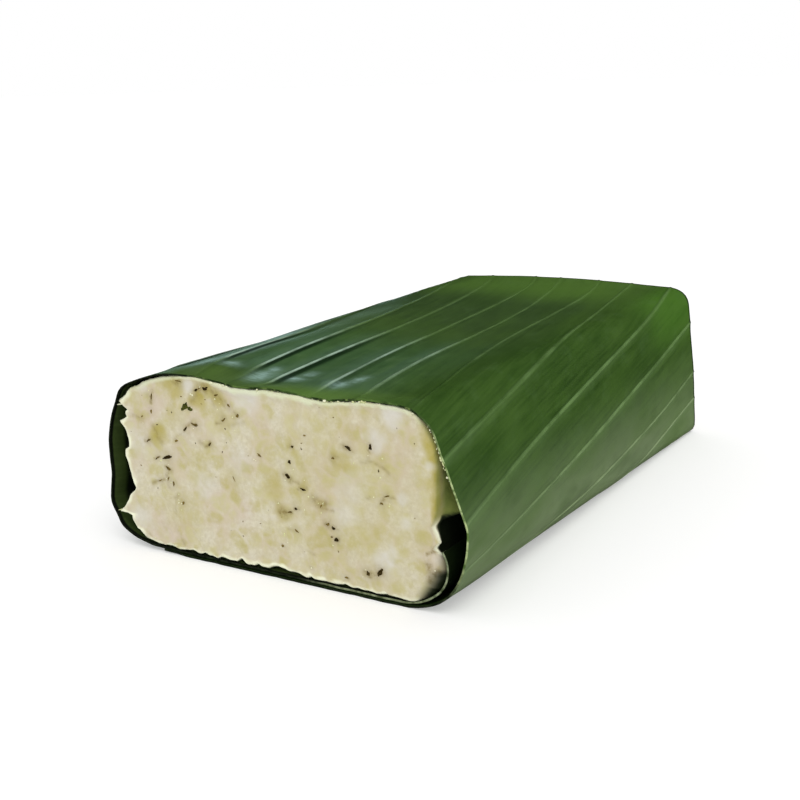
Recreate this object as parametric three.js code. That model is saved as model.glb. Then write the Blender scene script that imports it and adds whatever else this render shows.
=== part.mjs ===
// A tempeh cake wrapped in one banana leaf, cut open at both ends.
// Millimetres, +Z up. The cake's length runs along Y, its width along X, and it rests on Z = 0.
import * as THREE from "three";

// ---- Driving dimensions -------------------------------------------------------------------
const LENGTH = 171; // between the two cut ends
const LEAF_THICKNESS = 0.5;
const LAYER_GAP = 0.45; // air between two layers of leaf, and between the leaf and the cake
const FACE_RELIEF = 0.4; // how far the cut faces of the cake rise and fall
const FACE_SET_BACK = 0.1; // how far the highest part of a cut face lies behind the leaf's rim
const EDGE_RAGGEDNESS = 0.35; // how far the rim of a cut face wanders in and out

// The two crossing waves of a cut face, in radians per millimetre across and up.
const LONG_WAVE = new THREE.Vector2(0.17, 0.09);
const SHORT_WAVE = new THREE.Vector2(-0.05, 0.21);
// The rim's wander, as two counts of waves in one turn round the face.
const RIM_WAVES = 11;
const RIM_SWELLS = 6;

// Heights of the stacked layers under the cake, from the outer leaf face upwards.
const INNER_LAYER_Z = LEAF_THICKNESS + LAYER_GAP;
const CAKE_Z = INNER_LAYER_Z + LEAF_THICKNESS + LAYER_GAP;

// A section is a run of corners, each [x, z, rounding]; rounding is the length cut off each side.
// The leaf starts at its outer end under the cake, goes round once anticlockwise as seen from
// the front, slips between its own first layer and the cake, and ends tucked up on the right.
const LEAF_FRONT = [
  [-24, 0, 0],
  [54.6, 0, 17.5],
  [55.3, 21.3, 3],
  [44.6, 49.2, 7],
  [-11, 47.2, 7],
  [-24.5, 50.9, 6.5],
  [-49.2, 47.6, 14],
  [-55.2, 27, 7],
  [-54.8, 1.3, 12],
  [-32, INNER_LAYER_Z, 6],
  [42, INNER_LAYER_Z, 5.5],
  [49.6, 7, 4],
  [49.9, 13.5, 2.5],
  [46.9, 17, 0],
];
const LEAF_BACK = [
  [-22, 0, 0],
  [47.2, 0, 6],
  [46.5, 20, 5],
  [43.4, 48.4, 8],
  [10, 49.5, 8],
  [-18, 49.8, 6],
  [-49.2, 49.3, 18],
  [-50.6, 24, 7],
  [-51, 1.5, 11],
  [-32, INNER_LAYER_Z, 6],
  [38, INNER_LAYER_Z, 1.5],
  [46.1, INNER_LAYER_Z, 5.2],
  [45.9, 9, 2.5],
  [45.6, 15, 0],
];

// The cake's section goes anticlockwise from its bottom left corner. At the front cut it stands
// clear of the leaf on both sides; a little further in it fills the leaf.
const CAKE_FRONT = [
  [-46.8, CAKE_Z + 0.6, 10],
  [-30, CAKE_Z, 4],
  [45.4, CAKE_Z, 10],
  [45.7, 17, 5],
  [47.4, 26, 4],
  [43.7, 48.1, 7],
  [-11, 46.2, 7],
  [-24.4, 49.8, 6.5],
  [-45.4, 47.2, 11],
  [-48.3, 27, 8],
];
const CAKE_SHOULDER = [
  [-46.8, CAKE_Z + 0.6, 10],
  [-30, CAKE_Z, 4],
  [45.5, CAKE_Z, 10],
  [45.8, 18.2, 3],
  [52.6, 24.6, 3],
  [43.5, 48.1, 7],
  [-11, 46.2, 7],
  [-24.4, 49.8, 6.5],
  [-46.5, 47.1, 12],
  [-49.5, 27, 8],
];
const CAKE_FULL = [
  [-52.8, CAKE_Z + 0.7, 11.5],
  [-30, CAKE_Z, 4],
  [45.4, CAKE_Z, 9.5],
  [45.6, 18.4, 3],
  [52.5, 23.5, 3],
  [43.3, 48, 7],
  [-8, 46.6, 7],
  [-24, 49.6, 6],
  [-48, 46.7, 14],
  [-53.5, 27, 7],
];
const CAKE_BACK = [
  [-49.7, CAKE_Z + 0.6, 10.5],
  [-30, CAKE_Z, 4],
  [44.8, CAKE_Z, 6.5],
  [44.5, 17, 3],
  [44.7, 24, 3],
  [42.3, 47.3, 8],
  [10, 48.4, 8],
  [-18, 48.8, 6],
  [-48.2, 48.3, 17.5],
  [-49.5, 24, 5.5],
];
const SHOULDER_DEPTH = 8; // from the front cut to where the cake meets the leaf on the right
const FULL_DEPTH = 20; // from the front cut to where it fills the whole leaf

// ---- Fineness of the faceted solids -------------------------------------------------------
const CORNER_STEPS = 5;
const SIDE_STEPS = 3;
const LEAF_STATIONS = 13;
const RIM_STATIONS = 3; // in each of the cake's two short spans behind the front cut
const BODY_STATIONS = 7; // in the long span from there to the back cut
const FACE_RINGS = 5;

// ---- Sections -----------------------------------------------------------------------------

/** The section a share of the way from the front end to the back end. */
function blendSections(front, back, share) {
  const blend = (value, other) => THREE.MathUtils.lerp(value, other, share);
  return front.map((corner, i) => corner.map((value, k) => blend(value, back[i][k])));
}

/** The curve that rounds one corner, between the straight sides towards its two neighbours. */
function cornerCurve(before, [x, z, rounding], after) {
  const tip = new THREE.Vector2(x, z);
  const towards = (neighbour) => {
    const side = new THREE.Vector2(neighbour[0] - x, neighbour[1] - z);
    return side.setLength(rounding).add(tip);
  };
  return new THREE.QuadraticBezierCurve(towards(before), tip, towards(after));
}

/** Points along a run of rounded corners, the same number for every section of one piece. */
function sectionPoints(corners, closed) {
  const last = corners.length - 1;
  const curves = corners.map((corner, i) => {
    const before = corners[i === 0 ? last : i - 1];
    const after = corners[i === last ? 0 : i + 1];
    return cornerCurve(before, corner, after);
  });
  const points = [];
  curves.forEach((curve, i) => {
    if (closed || (i > 0 && i < last)) {
      points.push(...curve.getPoints(CORNER_STEPS));
    } else {
      points.push(curve.v1.clone());
    }
    if (closed || i < last) {
      const from = points.at(-1);
      const to = curves[(i + 1) % curves.length].v0;
      for (let step = 1; step < SIDE_STEPS; step += 1) {
        points.push(from.clone().lerp(to, step / SIDE_STEPS));
      }
    }
  });
  return points;
}

/** The same open line moved sideways, to the left of its direction of travel. */
function offsetLine(points, distance) {
  return points.map((point, i) => {
    const before = points[Math.max(i - 1, 0)];
    const after = points[Math.min(i + 1, points.length - 1)];
    const along = after.clone().sub(before).normalize();
    return new THREE.Vector2(point.x - along.y * distance, point.y + along.x * distance);
  });
}

/** Lays a section's points in the plane at one place along the length. */
function placeAt(points, y) {
  return points.map((point) => new THREE.Vector3(point.x, y, point.y));
}

// ---- Solids -------------------------------------------------------------------------------

/** One closed body: rings of points joined by quads, with each end closed by the given faces. */
function solidFromRings(rings, closeEnds) {
  const size = rings[0].length;
  const positions = rings.flat().flatMap((point) => point.toArray());
  const index = [];
  for (let ring = 0; ring < rings.length - 1; ring += 1) {
    for (let i = 0; i < size; i += 1) {
      const next = (i + 1) % size;
      const a = ring * size + i;
      const b = ring * size + next;
      index.push(a, b + size, b, a, a + size, b + size);
    }
  }
  closeEnds(index, positions, size, (rings.length - 1) * size);
  const geometry = new THREE.BufferGeometry();
  geometry.setAttribute("position", new THREE.Float32BufferAttribute(positions, 3));
  geometry.setIndex(index);
  geometry.computeVertexNormals();
  return geometry;
}

/** Closes the two cut ends of a thin band, whose ring is its outer line and then its inner one. */
function closeBand(index, positions, size, lastRing) {
  for (let i = 0; i < size / 2 - 1; i += 1) {
    const opposite = size - 1 - i;
    index.push(i, i + 1, opposite, opposite, i + 1, opposite - 1);
    const a = lastRing + i;
    const b = lastRing + opposite;
    index.push(a, b, a + 1, b, b - 1, a + 1);
  }
}

/** Closes both ends of a stack of rings with a fan round one middle point. */
function closeWithFans(index, positions, size, lastRing) {
  for (const [start, isFront] of [[0, true], [lastRing, false]]) {
    const middle = new THREE.Vector3();
    for (let i = 0; i < size; i += 1) {
      middle.add(new THREE.Vector3().fromArray(positions, (start + i) * 3));
    }
    middle.divideScalar(size);
    const tip = positions.length / 3;
    positions.push(...middle.toArray());
    for (let i = 0; i < size; i += 1) {
      const next = start + ((i + 1) % size);
      index.push(tip, ...(isFront ? [start + i, next] : [next, start + i]));
    }
  }
}

/** The rise of a cut face at one place, as the knife and the beans leave it. */
function faceRelief(place) {
  return FACE_RELIEF * Math.sin(place.dot(LONG_WAVE)) * Math.sin(place.dot(SHORT_WAVE));
}

/** How far the rim of a cut face stands in from its smooth outline, at one angle round it. */
function rimWander(angle) {
  return EDGE_RAGGEDNESS * (1 + Math.sin(angle * RIM_WAVES) * Math.cos(angle * RIM_SWELLS));
}

/** One cut face of the cake as shrinking copies of its rim, from the middle outwards. */
function faceRings(rim, y) {
  const middle = new THREE.Vector2();
  rim.forEach((point) => middle.add(point));
  middle.divideScalar(rim.length);
  const rings = [];
  for (let ring = 1; ring <= FACE_RINGS; ring += 1) {
    const share = ring / FACE_RINGS;
    const points = rim.map((point, i) => {
      const inset = rimWander((i / rim.length) * 2 * Math.PI) / point.distanceTo(middle);
      const moved = middle.clone().lerp(point, share * (1 - inset * share));
      return new THREE.Vector3(moved.x, y + faceRelief(moved), moved.y);
    });
    rings.push(points);
  }
  return rings;
}

function makeLeaf() {
  const rings = [];
  for (let station = 0; station <= LEAF_STATIONS; station += 1) {
    const share = station / LEAF_STATIONS;
    const outer = sectionPoints(blendSections(LEAF_FRONT, LEAF_BACK, share), false);
    const inner = offsetLine(outer, LEAF_THICKNESS);
    rings.push(placeAt([...outer, ...inner.reverse()], (share - 0.5) * LENGTH));
  }
  return solidFromRings(rings, closeBand);
}

function makeCake() {
  const spans = [
    [0, CAKE_FRONT, SHOULDER_DEPTH, CAKE_SHOULDER, RIM_STATIONS],
    [SHOULDER_DEPTH, CAKE_SHOULDER, FULL_DEPTH, CAKE_FULL, RIM_STATIONS],
    [FULL_DEPTH, CAKE_FULL, LENGTH, CAKE_BACK, BODY_STATIONS],
  ];
  const faceY = LENGTH / 2 - FACE_RELIEF - FACE_SET_BACK;
  const rings = faceRings(sectionPoints(CAKE_FRONT, true), -faceY);
  for (const [start, near, end, far, stations] of spans) {
    for (let station = 1; station <= stations; station += 1) {
      const share = station / stations;
      const y = THREE.MathUtils.lerp(start, end, share) - LENGTH / 2;
      if (y < faceY) {
        rings.push(placeAt(sectionPoints(blendSections(near, far, share), true), y));
      }
    }
  }
  rings.push(...faceRings(sectionPoints(CAKE_BACK, true), faceY).reverse());
  return solidFromRings(rings, closeWithFans);
}

// ---- The wrapped cake ---------------------------------------------------------------------
const wrappedCake = new THREE.Group();

const cake = new THREE.Mesh(
  makeCake(),
  new THREE.MeshStandardMaterial({ color: 0xd8ccab, roughness: 0.85, metalness: 0 }),
);
cake.name = "cake";
wrappedCake.add(cake);

const leaf = new THREE.Mesh(
  makeLeaf(),
  new THREE.MeshStandardMaterial({ color: 0x31591f, roughness: 0.45, metalness: 0 }),
);
leaf.name = "leaf";
wrappedCake.add(leaf);

export default wrappedCake;
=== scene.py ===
"""A tempeh cake wrapped in one banana leaf and cut open at both ends.

The sections below are in millimetres and meshes are in metres. +Z is up, the cake's length runs
along Y with the shown cut at the low end, and it rests on Z = 0.
"""

import math
import random

import bmesh
import bpy
import numpy as np
from bpy.props import FloatProperty, FloatVectorProperty, IntProperty, PointerProperty
from mathutils import Euler, Matrix, Vector, noise
from mathutils.bvhtree import BVHTree


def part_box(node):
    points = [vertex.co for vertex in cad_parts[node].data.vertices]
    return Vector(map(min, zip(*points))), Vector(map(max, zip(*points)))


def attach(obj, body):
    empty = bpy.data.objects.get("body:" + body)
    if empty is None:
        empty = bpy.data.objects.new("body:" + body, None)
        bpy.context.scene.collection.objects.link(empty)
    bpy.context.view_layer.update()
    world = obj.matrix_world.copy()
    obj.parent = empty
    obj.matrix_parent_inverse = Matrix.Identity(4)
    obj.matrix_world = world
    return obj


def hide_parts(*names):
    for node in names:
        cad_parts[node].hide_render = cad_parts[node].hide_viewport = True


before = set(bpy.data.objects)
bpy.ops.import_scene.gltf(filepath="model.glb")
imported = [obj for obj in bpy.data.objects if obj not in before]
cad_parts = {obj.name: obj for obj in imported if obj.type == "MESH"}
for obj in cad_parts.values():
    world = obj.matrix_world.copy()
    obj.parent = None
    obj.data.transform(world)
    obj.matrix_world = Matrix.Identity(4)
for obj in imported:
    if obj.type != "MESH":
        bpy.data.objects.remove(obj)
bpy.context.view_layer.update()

bl_info = {
    "name": "Leaf-Wrapped Tempeh Cake",
    "version": (1, 0, 0),
    "blender": (4, 5, 0),
    "location": "3D View > Sidebar > Tempeh",
    "description": "Makes a block of tempeh wound in a banana leaf and cut open at both ends",
    "category": "Object",
}

MM = 0.001
LEAF_LOW, LEAF_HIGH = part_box("leaf")
FRONT_Y = LEAF_LOW.y / MM
LENGTH = (LEAF_HIGH.y - LEAF_LOW.y) / MM

# ---- Sections ------------------------------------------------------------------------------
# A section is a run of corners [x, z, rounding]; rounding is the length cut off each side. The
# leaf starts at its outer end under the cake, goes round once anticlockwise as seen from the
# front, slips between its own first layer and the cake, and ends tucked up on the right.
LEAF_THICKNESS = 0.5
INNER_LAYER_Z = 0.95
CAKE_Z = 1.9

LEAF_FRONT = [
    [-37, 0.1, 0],
    [52.9, 0, 17],
    [55.4, 21.5, 2],
    [44.6, 49.2, 7],
    [-11, 47.2, 7],
    [-24.5, 50.9, 6.5],
    [-37.5, 48.7, 6],
    [-48.9, 44.3, 3.5],
    [-54.3, 31, 6],
    [-54.0, 17.8, 2.5],
    [-55.5, 11.8, 2],
    [-50.9, 3.7, 3.5],
    [-42.5, 1.2, 4.5],
    [-32, INNER_LAYER_Z, 5],
    [42, INNER_LAYER_Z, 5.5],
    [49.6, 7, 4],
    [50.0, 13.2, 2.5],
    [48.5, 15.8, 0],
]
LEAF_BACK = [
    [-22, 0, 0],
    [47.4, 0, 3.2],
    [46.5, 20, 5],
    [43.6, 48.4, 6],
    [10, 49.5, 8],
    [-18, 49.1, 6],
    [-39.5, 47.8, 0.3],
    [-49.3, 42, 6],
    [-50.6, 24, 4],
    [-50.7, 18, 2],
    [-50.9, 11, 3.5],
    [-48.9, 3.6, 4],
    [-40.5, 1.2, 4.3],
    [-32, INNER_LAYER_Z, 4],
    [38, INNER_LAYER_Z, 1.5],
    [46.1, INNER_LAYER_Z, 5.2],
    [45.9, 9, 2.5],
    [45.6, 15, 0],
]
# How far the front rim stands above or below its section over the top: [x, lift].
TOP_DRAPE = [
    [-34, 0.0],
    [-26, -0.6],
    [-20, -0.1],
    [-15, 0.6],
    [-10, 0.8],
    [-5, 1.2],
    [0, 1.4],
    [5, 1.1],
    [10, 0.6],
    [14, 0.1],
    [19, 0.0],
    [23, 0.4],
    [27, 0.85],
    [31, 0.8],
    [36, 0.5],
    [40, 0.0],
    [43, -0.4],
    [47, 0.0],
]
DRAPE_LENGTH = 10.0  # how far behind the rim the drape fades out
DRAPED_FACING = (0.3, 0.8)  # how far upward a place starts to take part in it, and takes full part
SHOULDER_CORNER = 3  # the leaf's top right corner, from which the unrolled sheet is measured

# Each entry is a distance behind the front cut and the cake's section there, anticlockwise from
# its bottom left corner. The cake stands clear of the leaf at the front cut and fills it further
# in.
CAKE_SECTIONS = [
    (0, [
        [-46.8, CAKE_Z + 0.5, 7.5],
        [-30, CAKE_Z, 4],
        [46.6, CAKE_Z, 8],
        [48.9, 14, 3.5],
        [47.9, 29, 5],
        [46.9, 41, 3],
        [42.9, 48.0, 4.5],
        [-11, 46.2, 7],
        [-23.5, 50.1, 6],
        [-45.6, 44.9, 9],
        [-48.3, 27, 8],
    ]),
    (2, [
        [-46.8, CAKE_Z + 0.5, 7.5],
        [-30, CAKE_Z, 4],
        [45.2, CAKE_Z, 8],
        [45.4, 21.5, 1.2],
        [49.2, 23.4, 1.4],
        [47.6, 38.5, 3],
        [43.1, 48.0, 5],
        [-11, 46.2, 7],
        [-23.7, 50.0, 6],
        [-45.9, 45.2, 9.5],
        [-48.6, 27, 8],
    ]),
    (8, [
        [-46.8, CAKE_Z + 0.6, 10],
        [-30, CAKE_Z, 4],
        [45.8, CAKE_Z, 10],
        [46.0, 21.6, 1.2],
        [52.6, 24.0, 1.6],
        [48.0, 36.5, 4],
        [43.5, 48.1, 7],
        [-11, 46.2, 7],
        [-24.4, 49.8, 6.5],
        [-46.7, 46.3, 12],
        [-49.5, 27, 8],
    ]),
    (20, [
        [-52.8, CAKE_Z + 0.7, 11.5],
        [-30, CAKE_Z, 4],
        [45.4, CAKE_Z, 9.5],
        [45.8, 21.4, 1.5],
        [52.3, 24.4, 2],
        [47.8, 35.9, 4],
        [43.3, 48, 7],
        [-8, 46.6, 7],
        [-24, 49.6, 6],
        [-48.2, 46.0, 14],
        [-53.5, 27, 7],
    ]),
    (LENGTH, [
        [-49.7, CAKE_Z + 0.6, 10.5],
        [-30, CAKE_Z, 4],
        [44.8, CAKE_Z, 6.5],
        [44.5, 17, 3],
        [44.7, 24, 3],
        [43.5, 35.7, 4],
        [42.3, 47.3, 8],
        [10, 48.4, 8],
        [-18, 48.8, 6],
        [-48.2, 48.3, 17.5],
        [-49.5, 24, 5.5],
    ]),
]
CAKE_CORNERS = (0, 2, 6, 9)  # bottom left, bottom right, top right and top left
CORNER_STEPS = 12  # steps along each rounding
WALK_REACH = 0.15  # how far each way along a line its direction is taken


def smooth_step(low, high, value):
    """Goes smoothly from 0 at low to 1 at high; low may be the larger of the two."""
    t = np.clip((value - low) / (high - low), 0, 1)
    return t * t * (3 - 2 * t)


def between(start, end, value):
    """Goes smoothly from 0 to 1 over the pair start, and back to 0 over the pair end."""
    return smooth_step(*start, value) * smooth_step(*end[::-1], value)


def crowd_ends(share):
    """A distance behind the front cut from its share of the length, crowded at both cuts."""
    return LENGTH * (0.5 - 0.5 * np.cos(np.pi * share))


def blend_sections(near, far, share):
    return np.array(near, float) * (1 - share) + np.array(far, float) * share


def rounded_line(corners, closed):
    """Points along a run of rounded corners, and the place in it of each corner's middle."""
    tips = corners[:, :2]
    t = np.linspace(0, 1, CORNER_STEPS + 1)[:, None]
    points = []
    middles = []
    for i, tip in enumerate(tips):
        if not closed and i in (0, len(tips) - 1):
            middles.append(len(points))
            points.append(tip)
            continue
        ends = []
        for other in (tips[i - 1], tips[(i + 1) % len(tips)]):
            side = other - tip
            ends.append(tip + side * corners[i, 2] / np.linalg.norm(side))
        middles.append(len(points) + CORNER_STEPS // 2)
        points.extend((1 - t) ** 2 * ends[0] + 2 * t * (1 - t) * tip + t**2 * ends[1])
    return np.array(points), middles


def arc_lengths(points):
    steps = np.linalg.norm(np.diff(points, axis=0), axis=1)
    return np.concatenate([[0], np.cumsum(steps)])


def walk_line(points, arcs, wanted):
    """The places, and the outward directions, at these lengths along a line."""
    behind, places, ahead = (
        np.stack([np.interp(wanted + shift, arcs, points[:, k]) for k in (0, 1)], 1)
        for shift in (-WALK_REACH, 0, WALK_REACH)
    )
    along = ahead - behind
    along /= np.linalg.norm(along, axis=1, keepdims=True)
    return places, np.stack([along[:, 1], -along[:, 0]], 1)


def wander(x, y, z, size):
    """Smooth noise from -1 to 1 with features of about the given size, at every place."""
    spots = np.stack(np.broadcast_arrays(x, y, z), -1).reshape(-1, 3) / size
    return np.array([noise.noise(Vector(spot)) for spot in spots]).reshape(np.shape(x + y + z))


def top_drape(x, depth, upward):
    """How far the front rim's drape lifts a place; upward is how far its outside faces up."""
    lift = np.interp(x, *np.array(TOP_DRAPE).T)
    return lift * smooth_step(DRAPE_LENGTH, 0, depth) * smooth_step(*DRAPED_FACING, upward)


# ---- Mesh helpers --------------------------------------------------------------------------


def finish_piece(name, mesh_builder, materials):
    """Turns a bmesh into a smooth-shaded piece that moves with the object."""
    mesh = bpy.data.meshes.new(name)
    mesh_builder.to_mesh(mesh)
    mesh_builder.free()
    mesh.polygons.foreach_set("use_smooth", [True] * len(mesh.polygons))
    for material in materials:
        mesh.materials.append(material)
    piece = bpy.data.objects.new(name, mesh)
    bpy.context.scene.collection.objects.link(piece)
    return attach(piece, "root")


def write_places(shape, places):
    for vert, place in zip(shape.verts, places):
        vert.co = place * MM


def write_attribute(piece, name, values):
    attribute = piece.data.attributes.new(name, "FLOAT", "POINT")
    attribute.data.foreach_set("value", np.asarray(values, np.float32))


# ---- Materials -----------------------------------------------------------------------------


def srgb(red, green, blue):
    """A linear colour from its 0 to 255 screen values."""
    shares = [value / 255 for value in (red, green, blue)]
    return [s / 12.92 if s <= 0.04045 else ((s + 0.055) / 1.055) ** 2.4 for s in shares]


def open_socket(sockets, key):
    """The socket in use that has this name, number, or neither."""
    if isinstance(key, int):
        return sockets[key]
    return next(s for s in sockets if s.enabled and key in (None, s.name))


class Signal:
    """A shader socket in plain sums: each sum adds a Math node, and node() adds any other."""

    def __init__(self, tree, socket=None):
        self.tree = tree
        self.socket = socket

    def node(self, kind, settings=None, inputs=None, output=None):
        """Adds a node, sets it up, feeds its inputs, and returns one of its outputs."""
        made = self.tree.nodes.new("ShaderNode" + kind)
        for name, value in (settings or {}).items():
            setattr(made, name, value)
        for key, value in (inputs or {}).items():
            socket = open_socket(made.inputs, key)
            if isinstance(value, Signal):
                self.tree.links.new(value.socket, socket)
            elif socket.type == "RGBA":
                socket.default_value = [*value[:3], 1]
            else:
                socket.default_value = value
        return Signal(self.tree, open_socket(made.outputs, output))

    def sum(self, operation, *others):
        values = dict(enumerate((self, *others)))
        return self.node("Math", {"operation": operation}, values)

    def __add__(self, other):
        return self.sum("ADD", other)

    def __radd__(self, other):
        return self.sum("ADD", other)

    def __sub__(self, other):
        return self.sum("SUBTRACT", other)

    def __rsub__(self, other):
        return self.node("Math", {"operation": "SUBTRACT"}, {0: other, 1: self})

    def __mul__(self, other):
        return self.sum("MULTIPLY", other)

    def __rmul__(self, other):
        return self.sum("MULTIPLY", other)

    def step(self, low, high):
        """Goes smoothly from 0 at low to 1 at high; low may be the larger of the two."""
        if not isinstance(low, Signal) and low > high:
            return 1 - self.step(high, low)
        settings = {"interpolation_type": "SMOOTHSTEP"}
        limits = {"Value": self, "From Min": low, "From Max": high}
        return self.node("MapRange", settings, limits)

    def between(self, start, end):
        """Goes smoothly from 0 to 1 over the pair start, and back to 0 over the pair end."""
        return self.step(*start) * self.step(*end[::-1])

    def mix(self, low, high):
        """Goes from one colour to another as this signal goes from 0 to 1."""
        settings = {"data_type": "RGBA", "clamp_factor": True}
        return self.node("Mix", settings, {"Factor": self, "A": low, "B": high})

    def attribute(self, name):
        return self.node("Attribute", {"attribute_name": name}, output="Fac")

    def noise(self, place, scale, detail=2.0, roughness=0.5):
        inputs = {"Vector": place, "Scale": scale, "Detail": detail, "Roughness": roughness}
        return self.node("TexNoise", None, inputs, "Fac")

    def stretch(self, place, scale):
        """The same coordinates with each axis scaled by its own share."""
        return self.node("Mapping", None, {"Vector": place, "Scale": scale})


def new_material(name):
    """A material with one shader; returns it, its shader, and a signal to build nodes from."""
    material = bpy.data.materials.new(name)
    material.use_nodes = True
    shader = material.node_tree.nodes["Principled BSDF"]
    return material, shader, Signal(material.node_tree)


def plug(shader, **inputs):
    """Feeds or sets a shader's sockets, which are named with _ for each space."""
    for name, value in inputs.items():
        socket = shader.inputs[name.replace("_", " ")]
        if isinstance(value, Signal):
            value.tree.links.new(value.socket, socket)
        else:
            socket.default_value = value


def paint(colour, *coats):
    """Lays coats over a colour one after the other, each given as its share and its colour."""
    for share, coat in coats:
        colour = share.mix(colour, coat)
    return colour


# ---- Leaf ----------------------------------------------------------------------------------
# Places on the leaf are given on the unrolled sheet. Across is the distance round it from the top
# right corner, counted towards the left over the top, and along is the distance behind the front
# cut. A pair of them is where something starts to come or go and where it has done so in full.
#
# The main veins are given by their distances across at each of these distances along.
VEIN_STATIONS = [0, 10, 30, 70, 120, 171]
SHOWN_VEINS = [
    [-61.0, -59.8, -57.5, -52.5, -44.0, -35.6],
    [-49.5, -48.2, -46.0, -41.5, -35.2, -26.8],
    [-38.6, -37.0, -33.7, -27.6, -19.6, -10.1],
    [-26.9, -24.8, -20.9, -13.8, -5.2, 5.2],
    [-11.5, -9.5, -5.8, 1.2, 9.8, 18.9],
    [2.6, 4.6, 9.2, 16.7, 21.6, 30.8],
    [17.8, 20.2, 23.3, 27.5, 32.7, 45.2],
    [31.6, 32.3, 35.2, 39.9, 43.6, 54.6],
    [48.0, 48.8, 50.1, 52.3, 57.2, 72.0],
    [56.9, 58.0, 59.6, 62.8, 71.0, 83.7],
    [66.8, 69.4, 71.6, 76.6, 84.0, 91.7],
]
VEIN_DEGREE = 4  # of the curve through each vein's places
VEIN_GAP = 14.0  # the usual distance between two veins
VEIN_CROWDING = 0.85  # how much the faces crowd beside a vein, from 0 to 1
# Painted glints and sheen on the leaf near the front, as pale spots: [across, along, half width
# across, half width along].
GLINT_AND_SHEEN_SPOTS = [
    [74.5, 14.5, 3.5, 5.0],
    [71.5, 29, 2.4, 14.0],
    [78.0, 52, 2.4, 13.0],
    [65.5, 13.4, 3.2, 1.8],
    [54.0, 11.4, 2.8, 4.5],
    [54.5, 17.5, 1.6, 2.0],
    [45.3, 13.6, 3.4, 2.0],
    [43.8, 19.0, 1.8, 1.8],
    [30.8, 12.2, 2.6, 2.8],
    [28.5, 18.0, 1.6, 3.0],
]
HIDDEN_STRIPS_RIGHT = 5  # strips from the sheet's outer end to the first of the veins above
HIDDEN_STRIPS_LEFT = 11  # strips from the last of them to its inner end
PLEATS_COME = (6, 28)
PLEATS_GO = (88, 104)
PLEATS_FADE = (90, 40)  # along, from where they are faint to where they are deep
FAINT_PLEATS = 0.12  # the share of their depth that is left where they are faint
PLEATS_START = (0.5, 11)  # along
LATE_START = (53, 58)  # left of this the pleats start further behind the front rim
START_DELAY = 7.0  # by this distance
WAX_AND_SHEEN_DELAY = 8.0  # and the wax with its painted sheen by this one
PLEAT_LEVEL = 0.45  # the share of a pleat's depth that lies below the smooth sheet
RIDGE_WIDTH = 0.022  # half of a vein's ridge, as a share of its strip
TOP_BULGE = 0.6  # how far the top stands up behind the front rim
SHOULDER_DROP = 0.3  # how far the left shoulder is pressed in there
WAVES = [(0.2, 34.0), (0.08, 11.0)]  # height and size
CREASE_HEIGHT = 0.09
CREASE_SIZE = 3.2
OUTER_END_LIFT = 0.4  # how far the sheet's outer end stands off the floor
OUTER_END_LENGTH = 9.0
RAG = 0.25  # how far in the cut edges lie, and how far they wander from there
RAG_SIZE = 4.0  # of the wandering, across, and of the stretch that it takes up, along
BACK_EDGE = (169.5, 170.3)  # along, where the dark edge at the back cut starts


def strip_marks(distance, start, end):
    """Where the veins lie round the sheet at one distance behind the front cut, with its ends."""
    shown = np.polyval(np.polyfit(VEIN_STATIONS, np.array(SHOWN_VEINS).T, VEIN_DEGREE), distance)
    right = np.linspace(start, shown[0], HIDDEN_STRIPS_RIGHT + 1)
    left = np.linspace(shown[-1], end, HIDDEN_STRIPS_LEFT + 1)
    return np.concatenate([right, shown[1:], left[1:]])


def strip_steps(count):
    """Places across one strip between two veins, closer together beside the veins."""
    even = np.arange(count) / count
    return even - VEIN_CROWDING * np.sin(2 * np.pi * even) / (2 * np.pi)


def pleat_height(across, along, strip, settings):
    """How far the pleated surface stands out of the smooth sheet."""
    fold = settings.fold_share
    part = strip % 1
    rise = np.where(
        part < 1 - fold,
        np.clip(1 - part / (1 - fold), 0, 1) ** 1.5,
        smooth_step(1 - fold, 1, part),
    )
    on_left = between(PLEATS_COME, PLEATS_GO, across)
    on_right = between((-56, -46), PLEATS_COME, across)
    late = START_DELAY * smooth_step(*LATE_START, across)
    clear_of_rim = smooth_step(*PLEATS_START, along - late)
    deep = FAINT_PLEATS + (1 - FAINT_PLEATS) * smooth_step(*PLEATS_FADE, along)
    depth = on_left * deep + on_right * FAINT_PLEATS
    ridge = np.exp(-((np.minimum(part, 1 - part) / RIDGE_WIDTH) ** 2))
    ridge = ridge * between((-62, -52), (100, 112), across)
    pleats = settings.pleat_depth / MM * depth * (rise - PLEAT_LEVEL)
    return clear_of_rim * (pleats + settings.vein_height / MM * ridge)


def leaf_bulge(across, along):
    """How far the top stands above its section, and the left shoulder below it."""
    on_top = between((12, 30), (58, 84), across) * between((0, 15), (30, 90), along)
    on_shoulder = between((62, 78), (90, 108), across) * smooth_step(95, 45, along)
    return TOP_BULGE * on_top - SHOULDER_DROP * on_shoulder


def leaf_waves(x, y, z, across, along):
    """Shallow dents and waves of the outer layer, none where it lies on the floor."""
    outside = between((-50, -38), (138, 150), across) * smooth_step(0, 12, along)
    waves = sum(height * wander(x, y, z, size) for height, size in WAVES)
    creased = between((20, 40), (88, 100), across) * between((4, 11), (17, 30), along)
    crease = CREASE_HEIGHT * wander(across * 0.5, along, 0 * along, CREASE_SIZE)
    return outside * waves + creased * crease


def glint_and_sheen_strength(across, along):
    """How strongly the painted glints and sheen show on the leaf at every place."""
    total = np.zeros(across.shape)
    for spot_across, spot_along, width, length in GLINT_AND_SHEEN_SPOTS:
        away = ((across - spot_across) / width) ** 2 + ((along - spot_along) / length) ** 2
        total = np.maximum(total, np.exp(-away))
    return total


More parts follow.
